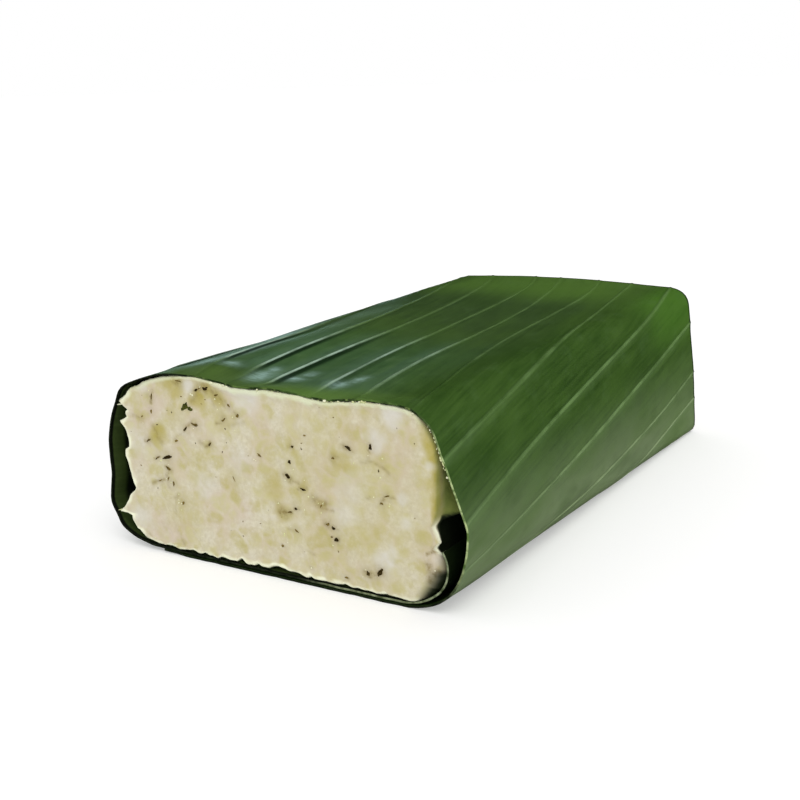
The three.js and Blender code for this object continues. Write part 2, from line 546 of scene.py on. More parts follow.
def wind_sheet(along, strip):
    """The smooth sheet's places and outward directions, and their distances across."""
    places = np.zeros((len(along), len(strip), 3))
    outward = np.zeros_like(places)
    across = np.zeros(places.shape[:2])
    for row, distance in enumerate(along):
        section = blend_sections(LEAF_FRONT, LEAF_BACK, distance / LENGTH)
        line, middles = rounded_line(section, False)
        arcs = arc_lengths(line)
        shoulder = arcs[middles[SHOULDER_CORNER]]
        marks = strip_marks(distance, -shoulder, arcs[-1] - shoulder)
        across[row] = np.interp(strip, np.arange(len(marks)), marks)
        where, out = walk_line(line, arcs, across[row] + shoulder)
        places[row][:, [0, 2]] = where
        places[row][:, 1] = FRONT_Y + distance
        outward[row][:, [0, 2]] = out
    return places, outward, across


def make_leaf_sheet(settings):
    """The unrolled sheet as a grid whose columns follow the veins, wound round the cake."""
    strips = HIDDEN_STRIPS_RIGHT + len(SHOWN_VEINS) - 1 + HIDDEN_STRIPS_LEFT
    steps = strip_steps(settings.columns)
    strip = np.append((np.arange(strips)[:, None] + steps).ravel(), strips)
    along = crowd_ends(np.linspace(0, 1, settings.rows))
    shape = bmesh.new()
    bmesh.ops.create_grid(shape, x_segments=len(strip) - 1, y_segments=settings.rows - 1, size=1)
    places, outward, across = wind_sheet(along, strip)
    along = np.broadcast_to(along[:, None], across.shape)
    strip = np.broadcast_to(strip, across.shape)
    lift = pleat_height(across, along, strip, settings) + leaf_bulge(across, along)
    lift = lift + leaf_waves(*np.moveaxis(places, -1, 0), across, along)
    lift = lift + top_drape(places[..., 0], along, outward[..., 2])
    places += outward * lift[..., None]
    outer_end = smooth_step(OUTER_END_LENGTH, 0, across - across[:, :1])
    places[..., 2] = np.maximum(places[..., 2], 0) + OUTER_END_LIFT * outer_end
    rag = RAG + RAG * wander(across, 0 * across, 0 * across, RAG_SIZE)
    near_front = smooth_step(RAG_SIZE, 0, along)
    near_back = smooth_step(LENGTH - RAG_SIZE, LENGTH, along)
    places[..., 1] += rag * (near_front - near_back)
    write_places(shape, places.reshape(-1, 3))
    bmesh.ops.reverse_faces(shape, faces=shape.faces)
    shape.normal_update()
    return shape, across.ravel(), along.ravel(), strip.ravel()


def sheet_signals(signal):
    """What the leaf's finishes read, with across and along in mm and sheet and flow in metres."""
    strip = signal.attribute("strip")
    sheet = signal.node("UVMap", {"uv_map": "Sheet"})
    across = sheet.node("SeparateXYZ", None, {"Vector": sheet}, "X")
    along = sheet.node("SeparateXYZ", None, {"Vector": sheet}, "Y")
    flow = signal.node("CombineXYZ", None, {"X": strip * (VEIN_GAP * MM), "Y": along})
    return strip, sheet, across * (1 / MM), along * (1 / MM), flow


def leaf_outer_material(settings):
    """Dark green, greyer low on the right with a painted floor reflection, and over the left pale
    with wax, painted sheen and painted glints, with crisp pale veins that carry painted highlights;
    painted shade on the folds, underneath and low down, and painted shade and light beside the
    veins on the side.
    """
    material, shader, signal = new_material("banana_leaf_outside")
    strip, sheet, across, along, flow = sheet_signals(signal)
    part = strip.sum("FRACT")
    near_vein = strip.sum("PINGPONG", 0.5)
    streaks = signal.noise(signal.stretch(flow, (1.0, 0.04, 1.0)), 1000.0, 3.0, 0.6)
    clouds = signal.noise(signal.stretch(flow, (1.0, 0.4, 1.0)), 55.0, 3.0, 0.6)
    mottle = signal.noise(signal.stretch(flow, (1.0, 0.6, 1.0)), 190.0, 3.0, 0.6)
    broken = signal.noise(signal.stretch(flow, (0.3, 1.0, 1.0)), 110.0, 3.0)
    wisps = signal.noise(signal.stretch(sheet, (0.35, 1.0, 1.0)), 900.0, 4.0, 0.65)

    on_top = across.step(-2, 26)
    on_left = across.step(8, 32)
    far_left = across.step(40, 46)
    on_shoulder = across.between((-10, 2), (12, 26))
    low = across.step(-14, -46)
    near_front = along.step(78, 38)
    clear_of_rim = (along - across.step(*LATE_START) * WAX_AND_SHEEN_DELAY).step(2, 13)
    back_corner = across.between((-18, -6), (2, 12)) * along.step(120, 155)
    # Over the left the leaf is pale with wax and with painted sheen, the sheen growing towards each
    # ridge.
    wax_and_sheen = on_left * near_front * clear_of_rim
    mottled = 0.12 + 0.2 * wax_and_sheen
    # Painted glints and sheen, broken into wisps.
    glint_and_sheen = signal.attribute("glint_and_sheen") * (0.3 + 0.7 * wisps.step(0.3, 0.62))
    # Painted shade on the steep fold of each pleat, which faces away from the light.
    fold = part.between((0.8, 0.9), (0.95, 0.985)) * on_left * (0.5 + 0.5 * far_left)
    # On the side, painted shade in the dip just left of each vein and painted light just right of
    # it.
    groove_shade = part.between((0.0, 0.02), (0.035, 0.075)) * (1 - on_left)
    beside = part.step(0.8, 0.97) * (1 - on_left) * (1 - on_shoulder)

    wide = (1 - wax_and_sheen) * on_left * 0.026
    line = 1 - near_vein.step(0.018 + 0.002 * wax_and_sheen, 0.055 - 0.004 * wax_and_sheen + wide)
    plain = 0.27 + 0.3 * along.step(20, 70) + 0.1 * low - 0.2 * on_shoulder - 0.2 * on_top
    plain = plain - on_left * along.step(50, 100) * 0.1
    crisp = wax_and_sheen * (0.65 + 0.35 * far_left)
    strength = (plain + crisp * (0.95 - plain)) * (0.55 + 0.75 * broken.step(0.3, 0.65))
    strength = strength * (1 - 0.6 * along.step(125, 155) * on_left)
    # The veins are paler there with painted highlights, and greyer low on the right with the
    # painted floor reflection.
    vein = paint(settings.vein_colour, (wax_and_sheen, srgb(158, 184, 164)), (low, srgb(150, 170, 126)))

    rim_green = across.step(30, 60).mix(srgb(98, 132, 60), srgb(80, 106, 50))
    colour = paint(
        settings.colour,
        # Painted reflection of the pale floor: greyer low on the right.
        (low, srgb(128, 145, 108)),  # greyer low on the right
        (on_top * (0.75 - 0.35 * near_front), srgb(56, 77, 44)),  # duller over the top
        (on_top * along.step(13, 6) * 0.9, rim_green),  # and fresh behind the front rim
        (clouds.step(0.42, 0.7) * 0.4, srgb(72, 104, 38)),
        (clouds.step(0.52, 0.3) * 0.4, srgb(44, 70, 26)),
        (along.step(120, 150) * (0.25 + 0.65 * on_top), srgb(84, 120, 46)),  # and at the back
        (back_corner * 0.6, srgb(74, 122, 32)),
        # Wax with painted sheen: paler near the front and towards each ridge.
        (wax_and_sheen * 0.6, srgb(64, 100, 64)),
        (wax_and_sheen * along.step(32, 16) * 0.2, srgb(88, 116, 92)),
        (wax_and_sheen * part.step(0.6, 0.0) * 0.5, srgb(92, 124, 102)),
        (mottle.step(0.5, 0.7) * mottled, srgb(92, 122, 78)),
        (mottle.step(0.5, 0.3) * mottled, srgb(38, 62, 28)),
        (streaks.step(0.3, 0.75) * 0.22, srgb(94, 126, 58)),
        (streaks.step(0.5, 0.25) * 0.2, srgb(36, 58, 26)),
        # Painted glints and sheen.
        (glint_and_sheen * 0.9, srgb(156, 190, 180)),
        # Painted shade on the steep folds.
        (fold * (0.12 + 0.8 * near_front * clear_of_rim), srgb(14, 34, 16)),
        # Painted shade left of each vein, painted light right of it.
        (groove_shade * 0.45, srgb(40, 66, 24)),  # just left of each vein
        (beside * 0.2, settings.vein_colour),  # and just right of it
        (line * strength * 0.92, vein),
        (across.step(70, 83) * 0.4, srgb(24, 44, 26)),  # towards the left and down that side
        # Painted contact shade along the bottom edge.
        (across.step(-45.5, -50) * 0.6, srgb(30, 36, 26)),  # low on the right and below
        # Painted shade underneath and on the inner layer.
        (across.step(140, 165), srgb(20, 30, 12)),  # underneath, and on the inner layer
        (along.step(*BACK_EDGE) * 0.8, srgb(20, 34, 12)),
    )
    grain = signal.noise(sheet, 2500.0, 2.0)
    height = streaks * 0.6 + grain * 0.25 + line * 0.5
    bump = signal.node("Bump", None, {"Strength": 0.45, "Distance": 0.0001, "Height": height})
    roughness = 0.24 + 0.16 * signal.noise(sheet, 70.0, 3.0)
    plug(shader, Base_Color=colour, Roughness=roughness, Normal=bump, Specular_IOR_Level=0.5)
    return material


def leaf_inner_material(settings):
    """Dull green behind the front rim, with painted shade at the rim and further in, and greener on
    the right.
    """
    material, shader, signal = new_material("banana_leaf_inside")
    _, _, across, along, flow = sheet_signals(signal)
    streaks = signal.noise(signal.stretch(flow, (1.0, 0.04, 1.0)), 900.0, 3.0, 0.6)
    clouds = signal.noise(flow, 60.0, 3.0, 0.6)
    colour = paint(
        settings.inside_colour,
        (clouds.step(0.3, 0.7) * 0.5, srgb(64, 82, 40)),
        (streaks.step(0.4, 0.8) * 0.25, srgb(84, 104, 58)),
        # Painted shade: nearly black at the rim and dark further in, where the gaps lie in shadow.
        (along.step(1.3, 0.7), srgb(8, 14, 5)),
        (along.step(4.6, 6.6), srgb(12, 20, 6)),
        (across.step(-13, -22), srgb(36, 62, 16)),
    )
    bump = signal.node("Bump", None, {"Strength": 0.4, "Distance": 0.0001, "Height": streaks})
    plug(shader, Base_Color=colour, Roughness=0.65, Normal=bump, Specular_IOR_Level=0.2)
    return material


def leaf_rim_material():
    """The cut edge: over the top dark with painted shade and pale dashes, pale with painted light
    on the right and at the inner end, and dark with painted shade elsewhere.
    """
    material, shader, signal = new_material("banana_leaf_cut_edge")
    _, sheet, across, along, _ = sheet_signals(signal)
    fresh = signal.noise(sheet, 420.0, 3.0, 0.6)
    slow = signal.noise(sheet, 110.0, 2.0)
    # Over the top: mostly dark with painted shade, with pale dashes.
    shaded_top_edge = fresh.step(0.5, 0.7).mix(srgb(32, 52, 14), srgb(120, 140, 76))
    # On the right: pale with painted light.
    side = fresh.step(0.38, 0.6).mix(srgb(84, 112, 50), srgb(176, 192, 136))
    # Low on the right and on the left: dark with painted shade.
    shaded_edge = fresh.step(0.4, 0.7).mix(srgb(14, 22, 8), srgb(38, 50, 22))
    # At the inner end: pale with painted light.
    inner = fresh.step(0.35, 0.65).mix(srgb(66, 78, 46), srgb(140, 150, 116))
    colour = paint(
        shaded_top_edge,
        (slow.step(0.44, 0.56) * 0.8, srgb(84, 112, 48)),
        # Painted light on the right.
        (across.step(0, -12), side),
        # Painted shade low on the right and on the left.
        (across.step(-30, -50), shaded_edge),
        (across.step(62, 74), shaded_edge),
        # Painted light at the inner end.
        (across.step(192, 208), inner),
        (along.between((1, 2), (169, 170)), srgb(14, 20, 8)),  # the long edges, away from the cuts
    )
    plug(shader, Base_Color=colour, Roughness=0.6, Specular_IOR_Level=0.2)
    return material


class LeafSettings(bpy.types.PropertyGroup):
    """Sizes and colours of the banana leaf."""

    pleat_depth: FloatProperty(
        name="Pleat Depth",
        description="How deep the leaf's pleats are at the front of the top",
        default=0.55 * MM,
        min=0.0,
        unit="LENGTH",
    )
    vein_height: FloatProperty(
        name="Vein Height",
        description="How far each main vein stands out of the leaf",
        default=0.14 * MM,
        min=0.0,
        unit="LENGTH",
    )
    fold_share: FloatProperty(
        name="Fold Share",
        description="The share of each strip that its steep fold takes up",
        default=0.12,
        min=0.02,
        max=0.5,
        subtype="FACTOR",
    )
    columns: IntProperty(
        name="Columns",
        description="Faces across each strip between two veins",
        default=18,
        min=6,
    )
    rows: IntProperty(
        name="Rows",
        description="Rows of points along the leaf",
        default=72,
        min=8,
    )
    colour: FloatVectorProperty(
        name="Leaf Colour",
        description="Colour of the leaf's outer side",
        default=srgb(48, 78, 24),
        subtype="COLOR",
        size=3,
    )
    inside_colour: FloatVectorProperty(
        name="Inside Colour",
        description="Colour of the leaf's inner side",
        default=srgb(54, 70, 30),
        subtype="COLOR",
        size=3,
    )
    vein_colour: FloatVectorProperty(
        name="Vein Colour",
        description="Colour of the main veins",
        default=srgb(118, 152, 90),
        subtype="COLOR",
        size=3,
    )


class TEMPEH_OT_leaf(bpy.types.Operator):
    """Winds the banana leaf round the cake"""

    bl_idname = "tempeh.leaf"
    bl_label = "Banana Leaf"

    def execute(self, context):
        settings = context.scene.tempeh_leaf
        shape, across, along, strip = make_leaf_sheet(settings)
        layer = shape.loops.layers.uv.new("Sheet")
        for face in shape.faces:
            for loop in face.loops:
                spot = loop.vert.index
                loop[layer].uv = (across[spot] * MM, along[spot] * MM)
        finishes = [
            leaf_outer_material(settings),
            leaf_inner_material(settings),
            leaf_rim_material(),
        ]
        leaf = finish_piece("leaf_sheet", shape, finishes)
        write_attribute(leaf, "strip", strip)
        write_attribute(leaf, "glint_and_sheen", glint_and_sheen_strength(across, along))
        wall = leaf.modifiers.new("Thickness", "SOLIDIFY")
        wall.thickness = LEAF_THICKNESS * MM
        wall.offset = -1
        wall.material_offset = 1
        wall.material_offset_rim = 2
        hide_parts("leaf")
        return {"FINISHED"}


# ---- Cake ----------------------------------------------------------------------------------
# The front cut's rim. The sides are rows of [z, x] upwards, with mould torn into spurs and
# notches, and the notches below are rows of [x, half width, depth].
LEFT_RIM = [
    [5.7, -46.9],
    [7.6, -48.1],
    [9.0, -48.3],
    [9.5, -52.6],
    [10.3, -51.2],
    [11.6, -50.0],
    [14.2, -48.2],
    [15.6, -46.6],
    [16.6, -45.9],
    [17.8, -46.8],
    [20.5, -47.5],
    [23.5, -48.2],
    [25.2, -49.0],
    [26.8, -48.8],
    [27.6, -47.4],
    [30.0, -47.3],
    [31.8, -47.7],
    [33.2, -48.6],
    [34.1, -50.0],
    [34.9, -48.6],
    [36.0, -47.2],
    [37.0, -47.9],
    [38.1, -46.9],
    [38.9, -50.2],
    [39.9, -48.8],
    [41.0, -47.4],
    [43.8, -45.2],
]
RIGHT_RIM = [
    [6.0, 47.2],
    [8.0, 48.4],
    [11.0, 49.0],
    [13.0, 48.8],
    [14.8, 47.6],
    [16.0, 46.2],
    [17.0, 46.9],
    [17.7, 47.7],
    [18.6, 47.2],
    [19.8, 46.8],
    [21.2, 45.9],
    [22.6, 46.5],
    [24.5, 46.8],
    [28.3, 47.1],
    [35.4, 47.5],
    [40.0, 47.1],
]
BOTTOM_NOTCHES = [
    [-36.2, 0.7, 0.6],
    [-34.2, 0.5, 0.6],
    [-27.4, 1.1, 0.6],
    [-23.2, 0.7, 0.8],
    [-18.0, 0.8, 0.4],
    [-11.2, 1.2, 1.1],
    [-6.0, 0.9, 0.7],
    [0.8, 3.2, 1.2],
    [6.2, 1.6, 0.7],
    [10.8, 0.8, 0.5],
    [21.0, 0.8, 0.4],
    [33.2, 0.7, 0.5],
]
# Patches on the front cut are rows of [x, z, size, strength].
YELLOW_PATCHES = [
    [-22.4, 43.8, 3.4, 1.2],
    [-19.6, 46.6, 2.0, 1.0],
    [-15.4, 44.6, 2.6, 1.0],
    [-36.4, 32.8, 3.4, 1.1],
    [-29.8, 46.2, 4.2, 1.0],
    [-42.1, 36.6, 2.2, 0.6],
    [-30.0, 38.5, 4.0, 0.4],
    [21.0, 33.3, 3.4, 0.8],
    [0.4, 24.1, 4.2, 0.7],
    [8.6, 24.4, 3.0, 0.5],
    [32.2, 34.1, 3.6, 0.5],
    [-12.8, 23.6, 4.0, 0.4],
    [-22.4, 27.5, 4.0, 0.4],
    [46.1, 31.2, 3.0, 0.7],
    [15.0, 10.0, 6.0, 0.3],
    [24.0, 27.0, 26.0, 0.3],
    [3.0, 18.0, 3.0, 0.7],
    [14.8, 21.6, 2.4, 0.8],
    [27.5, 16.5, 6.0, 0.5],
    [43.0, 18.0, 4.0, 0.4],
    [-14.6, 38.8, 3.4, 0.6],
    [-30.0, 12.0, 7.0, 0.35],
]
WHITE_PATCHES = [
    [-6.7, 46.2, 4.5, 0.8],
    [35.4, 46.0, 3.2, 0.8],
    [30.8, 40.0, 3.0, 0.7],
    [37.6, 26.5, 1.8, 0.6],
    [38.4, 21.0, 1.8, 0.6],
    [32.8, 10.6, 3.6, 0.8],
    [-21.5, 20.7, 4.0, 0.5],
    [-9.5, 29.6, 3.6, 0.4],
    [-40.5, 44.5, 2.0, 0.5],
    [23.5, 27.0, 4.5, 0.35],
    [21.0, 20.2, 4.0, 0.5],
    [-25.2, 46.4, 2.2, 0.8],
    [45.4, 35.8, 1.3, 0.6],
    # A painted highlight on the rounded lower right corner.
    [46.6, 13.6, 1.6, 0.3],
    [-44.5, 8.6, 3.6, 0.6],
    [-44.0, 30.0, 4.0, 0.4],
]
# Brown lines and smudges in the front cut: [x, z, x, z, half width, strength].
CRACKS = [
    [-37.3, 44.2, -38.2, 40.6, 0.35, 0.8],
    [-44.5, 36.7, -41.0, 36.3, 0.45, 0.4],
    [-23.4, 45.3, -21.4, 46.3, 0.6, 0.6],
    [-21.4, 46.3, -19.0, 46.7, 0.7, 0.8],
    [-18.6, 46.3, -15.4, 45.2, 0.6, 0.6],
    [-15.4, 45.2, -13.6, 42.8, 0.5, 0.5],
    [-21.8, 45.2, -24.2, 42.8, 0.9, 0.4],
    [-18.0, 44.8, -17.0, 42.5, 0.7, 0.3],
    [-30.2, 47.4, -27.2, 47.4, 0.4, 0.7],
    [-24.6, 37.1, -22.8, 36.6, 0.45, 0.7],
    [-24.8, 36.9, -27.6, 34.6, 0.45, 0.7],
    [-27.6, 34.6, -31.2, 31.8, 0.35, 0.3],
    [-37.8, 34.6, -35.0, 30.2, 0.8, 0.4],
    [-41.0, 30.2, -38.6, 31.0, 0.5, 0.7],
    [-38.4, 25.4, -36.2, 26.5, 0.4, 0.7],
    [-34.6, 24.2, -33.0, 23.2, 0.7, 0.8],
    [-33.8, 22.6, -34.8, 21.0, 0.5, 0.7],
    [-34.8, 21.0, -37.2, 19.7, 0.45, 0.7],
    [-37.2, 19.7, -39.8, 18.6, 0.45, 0.6],
    [-34.3, 21.0, -33.9, 18.4, 0.45, 0.5],
    [-32.2, 15.8, -30.8, 16.8, 0.5, 0.5],
    [-32.0, 15.8, -32.1, 12.0, 0.4, 0.3],
    [-22.2, 32.4, -20.2, 31.4, 0.7, 0.4],
    [-20.2, 31.4, -18.6, 32.6, 0.5, 0.7],
    [-16.4, 38.0, -13.6, 39.4, 0.45, 0.6],
    [-12.4, 38.0, -8.0, 39.2, 0.6, 0.3],
    [-13.4, 44.4, -12.6, 43.0, 0.5, 0.4],
    [-10.6, 41.6, -9.4, 40.8, 0.5, 0.7],
    [-4.0, 31.4, -2.8, 31.2, 0.4, 0.4],
    [21.8, 37.3, 24.2, 36.6, 0.7, 0.7],
    [29.0, 37.0, 29.5, 38.8, 0.5, 0.7],
    [28.8, 36.6, 28.7, 34.6, 0.5, 0.3],
    [17.8, 33.4, 20.0, 34.4, 0.5, 0.4],
    [26.4, 33.8, 30.0, 34.8, 0.5, 0.35],
    [30.0, 34.8, 34.4, 32.2, 0.5, 0.4],
    [6.2, 35.4, 7.0, 34.6, 0.5, 0.5],
    [4.2, 27.6, 5.6, 26.8, 0.9, 0.8],
    [6.4, 26.6, 8.2, 26.0, 0.4, 0.5],
    [8.0, 24.7, 10.6, 25.2, 0.4, 0.7],
    [12.8, 22.6, 14.6, 21.4, 1.5, 0.6],
    [14.4, 21.2, 16.0, 22.2, 1.1, 0.6],
    [16.0, 20.8, 18.0, 20.4, 0.4, 0.5],
    [2.2, 17.8, 5.4, 18.2, 0.9, 0.8],
    [2.4, 18.2, 3.6, 17.8, 1.6, 0.6],
    [2.0, 19.6, 1.6, 17.8, 0.6, 0.5],
    [6.4, 18.9, 7.6, 19.6, 0.5, 0.7],
    [16.0, 17.0, 18.4, 16.2, 1.0, 0.7],
    [17.2, 13.8, 18.0, 13.9, 0.4, 0.6],
    [18.2, 13.0, 19.4, 13.6, 0.7, 0.7],
    [4.6, 13.6, 6.6, 13.4, 0.6, 0.4],
    [27.0, 6.4, 28.4, 6.2, 1.0, 0.9],
    [30.4, 6.8, 31.4, 7.8, 1.2, 0.9],
    [32.0, 25.4, 33.6, 26.8, 0.4, 0.7],
    [33.6, 26.8, 35.4, 26.2, 0.4, 0.6],
    [28.0, 25.4, 28.8, 25.8, 0.4, 0.4],
    [2.0, 9.0, 2.6, 8.8, 0.5, 0.5],
    [11.0, 8.4, 11.6, 8.2, 0.6, 0.4],
    [10.4, 4.6, 11.0, 4.4, 0.5, 0.4],
    [21.0, 4.2, 21.8, 4.0, 0.5, 0.5],
    [46.8, 16.3, 44.2, 14.4, 0.45, 0.9],
    # These two rows are brown painted shade on the rounded lower right corner.
    [44.4, 11.6, 44.8, 7.6, 1.0, 0.7],
    [45.6, 9.4, 46.8, 10.2, 1.0, 0.7],
    [-29.8, 3.8, -30.4, 4.4, 0.5, 0.4],
    [-42.4, 4.2, -41.6, 3.8, 0.5, 0.4],
]
# Bits of dark hull in the front cut:
# [x, z, length, width, turn in degrees, strength of the stain round it, darkness].
HULL_BITS = [
    [-33.8, 26.6, 3.2, 1.1, 16, 0.5, 1],
    [-37.2, 26.0, 1.6, 0.45, 28, 0.4, 0.6],
    [-33.8, 23.7, 1.6, 0.8, -30, 0.7, 0.6],
    [-36.9, 19.9, 1.5, 0.35, 26, 0.5, 0.4],
    [-34.0, 20.8, 1.1, 0.5, 60, 0.5, 0.3],
    [-32.4, 19.6, 0.5, 1.9, 5, 0.4, 0.3],
    [-37.7, 42.6, 0.4, 2.0, -10, 0.4, 0.5],
    [-38.2, 38.6, 0.6, 1.2, 10, 0.3, 0.3],
    [-41.4, 36.8, 0.8, 0.4, 30, 0.3, 0.3],
    [-28.4, 47.5, 1.9, 0.5, -5, 0.8, 0.4],
    [-22.6, 45.8, 1.0, 0.8, 20, 0.5, 0.7],
    [-19.6, 46.6, 1.7, 0.8, 10, 1.0, 0.7],
    [-21.4, 46.4, 1.2, 0.3, 30, 0.9, 0.3],
    [-16.0, 45.4, 1.2, 0.6, 20, 0.9, 0.5],
    [-9.6, 40.9, 1.1, 0.9, 50, 0.5, 0.5],
    [-12.2, 43.1, 0.9, 0.6, -30, 0.5, 0.3],
    [-14.2, 39.1, 1.5, 0.5, 35, 0.5, 0.3],
    [-23.7, 36.8, 2.0, 0.7, -14, 0.4, 0.6],
    [-26.8, 35.3, 2.0, 0.6, 45, 0.4, 0.6],
    [-30.2, 31.7, 1.1, 0.7, 20, 0.3, 0.3],
    [-39.6, 30.6, 1.6, 0.6, 28, 0.5, 0.5],
    [-18.9, 32.2, 1.3, 0.6, 45, 0.4, 0.6],
    [-29.4, 15.0, 1.0, 0.8, 60, 0.4, 0.3],
    [-3.4, 31.5, 1.3, 0.6, -35, 0.2, 0.3],
    [23.1, 36.9, 1.7, 0.9, -18, 0.4, 0.9],
    [29.4, 38.1, 0.8, 1.6, -10, 0.4, 0.8],
    [18.6, 33.8, 0.8, 0.6, 20, 0.5, 0.3],
    [6.8, 35.2, 0.8, 0.7, 0, 0.3, 0.6],
    [5.7, 31.0, 0.8, 0.9, 0, 0.3, 0.8],
    [4.9, 27.4, 1.6, 1.1, -40, 0.3, 1],
    [9.5, 24.8, 1.6, 0.6, -10, 0.3, 0.8],
    [14.6, 21.2, 1.0, 0.5, 60, 0.9, 0.1],
    [6.9, 19.2, 0.9, 0.8, 25, 0.5, 0.6],
    [5.0, 18.1, 1.4, 0.4, 15, 0.7, 0.5],
    [18.0, 16.3, 1.0, 0.9, -20, 0.6, 0.9],
    [16.4, 17.0, 1.0, 0.8, 20, 0.9, 0.3],
    [18.6, 13.3, 1.2, 1.2, -20, 0.5, 1],
    [17.3, 13.9, 0.7, 0.5, 0, 0.3, 0.3],
    [2.2, 8.8, 0.7, 0.8, 0, 0.2, 0.3],
    [6.8, 13.6, 1.2, 0.5, -30, 0.4, 0.3],
    [31.0, 7.5, 1.7, 1.4, 28, 0.8, 0.8],
    [30.5, 6.8, 0.8, 1.0, 70, 0.8, 0.6],
    [27.7, 6.6, 1.0, 1.3, -40, 0.8, 0.6],
    [33.4, 26.6, 1.6, 0.4, 20, 0.5, 0.5],
    [31.8, 24.6, 0.9, 0.5, 0, 0.5, 0.3],
    [21.1, 4.0, 1.0, 0.6, 0, 0.4, 0.3],
    [42.6, 1.9, 1.4, 0.7, 35, 0.3, 0.6],
    [10.6, 38.4, 0.7, 0.5, 0, 0.2, 0.3],
    [-12.0, 24.0, 1.5, 0.3, -60, 0.2, 0.3],
]
# Bits of green in the front cut: [x, z, length, width, turn in degrees].
GREEN_BITS = [
    [-26.6, 41.1, 1.9, 1.5, 10],
    [-25.0, 40.7, 1.7, 1.1, -10],
    [-27.4, 40.4, 1.2, 0.8, 40],
    [-26.2, 41.9, 0.9, 0.5, 30],
]
# Strands of mould that bridge the left gap: two ends, [x, z, x, z], each.
STRANDS = [
    [-53.4, 8.9, -49.4, 10.2],
    [-50.8, 38.6, -47.4, 39.4],
]
FACE_STEPS = 190  # faces across the width of a cut face
FACE_RISE = 94  # and up its height
SIDE_ROWS = 60  # rows of faces from one cut to the other
FACE_INSET = 0.5  # how far a cut face lies behind the leaf's rim
EDGE_ROUNDING = 0.5  # the usual width of the rounding along a cut face's rim
RIM_DROP = 0.7  # how far a cut face falls back at its rim, as a share of its rounding's width
CLEARANCE = 0.05  # how much further back the rows of the front half lie
END_LENGTH = 14.0  # how far from a cut the sides make room for its face
FACE_WAVES = [(0.3, 14.0, 0), (0.12, 1.5, 7), (0.16, 4.0, 5)]  # height, size and seed
RIM_WAVES = [(0.2, 1.5), (0.25, 4.0)]  # height and size
RIM_INSET = 0.15  # how far inside the cake's section its sides wander
RIM_LENGTH = 1.6  # how far from the front cut its spurs and notches fade
LEFT_DENT = 1.4  # how far the upper left is pressed in behind the front cut
BACK_DROP = 1.1  # how far the left of the top drops towards the back cut
LOWEST = CAKE_Z - 0.4  # how low the cake's underside may wander
BEAN_CROWDING = 0.78  # the distance between beans, as a share of their length
BEAN_STRAY = 0.3  # how far a bean lies off its place in the rows, as a share of that distance
BEAN_ROWS_START = (-57, -2)  # x and z
BEAN_ROWS_SIZE = (120, 60)
VALUE_NAMES = ("bean", "tone", "yellow", "white", "brown", "stain_and_leaf_light", "rim", "shade")


def scatter_beans(settings, draw):
    """Beans over a cut face as rows of [x, z, half length, half width, angle, tone, lift]."""
    gap = settings.bean_length / MM * BEAN_CROWDING
    rise = gap * math.sqrt(0.75)
    left, low = BEAN_ROWS_START
    wide, high = BEAN_ROWS_SIZE
    beans = []
    for row in range(int(high / rise)):
        for column in range(int(wide / gap)):
            shift = 0.5 * (row % 2)
            x = left + (column + shift) * gap + draw.uniform(-BEAN_STRAY, BEAN_STRAY) * gap
            z = low + row * rise + draw.uniform(-BEAN_STRAY, BEAN_STRAY) * gap
            length = settings.bean_length / MM * draw.uniform(0.38, 0.66)
            width = length * draw.uniform(0.45, 0.85)
            tone = draw.gauss(0, 1)
            lift = draw.uniform(-1, 1)
            beans.append([x, z, length, width, draw.uniform(0, math.pi), tone, lift])
    return np.array(beans)


def bean_pattern(x, z, beans):
    """The nearest bean to every place, how deep the place lies in it, and its seam."""
    still = np.zeros(x.shape)
    x, z = x + 1.1 * wander(x, still, z, 3.6), z + 1.1 * wander(x, still + 9, z, 3.6)
    first = np.full(x.shape, 1e9)
    second = np.full(x.shape, 1e9)
    nearest = np.zeros(x.shape, int)
    for number, (bean_x, bean_z, length, width, angle, _, _) in enumerate(beans):
        across = (x - bean_x) * math.cos(angle) + (z - bean_z) * math.sin(angle)
        upward = (z - bean_z) * math.cos(angle) - (x - bean_x) * math.sin(angle)
        reach = np.hypot(across / length, upward / width)
        closer = reach < first
        second = np.where(closer, first, np.minimum(second, reach))
        nearest = np.where(closer, number, nearest)
        first = np.where(closer, reach, first)
    return nearest, first, second - first


def patch_strength(x, z, patches):
    """The strongest of the patches at every place, each with a wandering outline."""
    total = np.zeros(x.shape)
    rough = 1 + 0.5 * wander(x, np.zeros(x.shape) + 3, z, 3.0)
    for patch_x, patch_z, size, strength in patches:
        away = np.hypot(x - patch_x, z - patch_z) * rough
        total = np.maximum(total, strength * smooth_step(1.35 * size, 0.35 * size, away))
    return total


def stain_strength(x, z):
    """Brown stains round the bits of hull and along the cracks, and brown painted shade at the
    lower right corner.
    """
    still = np.zeros(x.shape)
    x, z = x + 0.5 * wander(x, still, z, 1.6), z + 0.5 * wander(x, still + 4, z, 1.6)
    total = np.zeros(x.shape)
    for bit_x, bit_z, length, width, _, strength, _ in HULL_BITS:
        size = 0.75 + 0.35 * (length + width)
        away = np.hypot(x - bit_x, z - bit_z)
        total = np.maximum(total, 0.7 * strength * np.exp(-((away / size) ** 2)))
    for near_x, near_z, far_x, far_z, half_width, strength in CRACKS:
        span = np.array([far_x - near_x, far_z - near_z])
        share = ((x - near_x) * span[0] + (z - near_z) * span[1]) / (span @ span)
        share = np.clip(share, 0, 1)
        away = np.hypot(x - near_x - share * span[0], z - near_z - share * span[1])
        total = np.maximum(total, strength * np.exp(-((away / half_width) ** 2)))
    return total


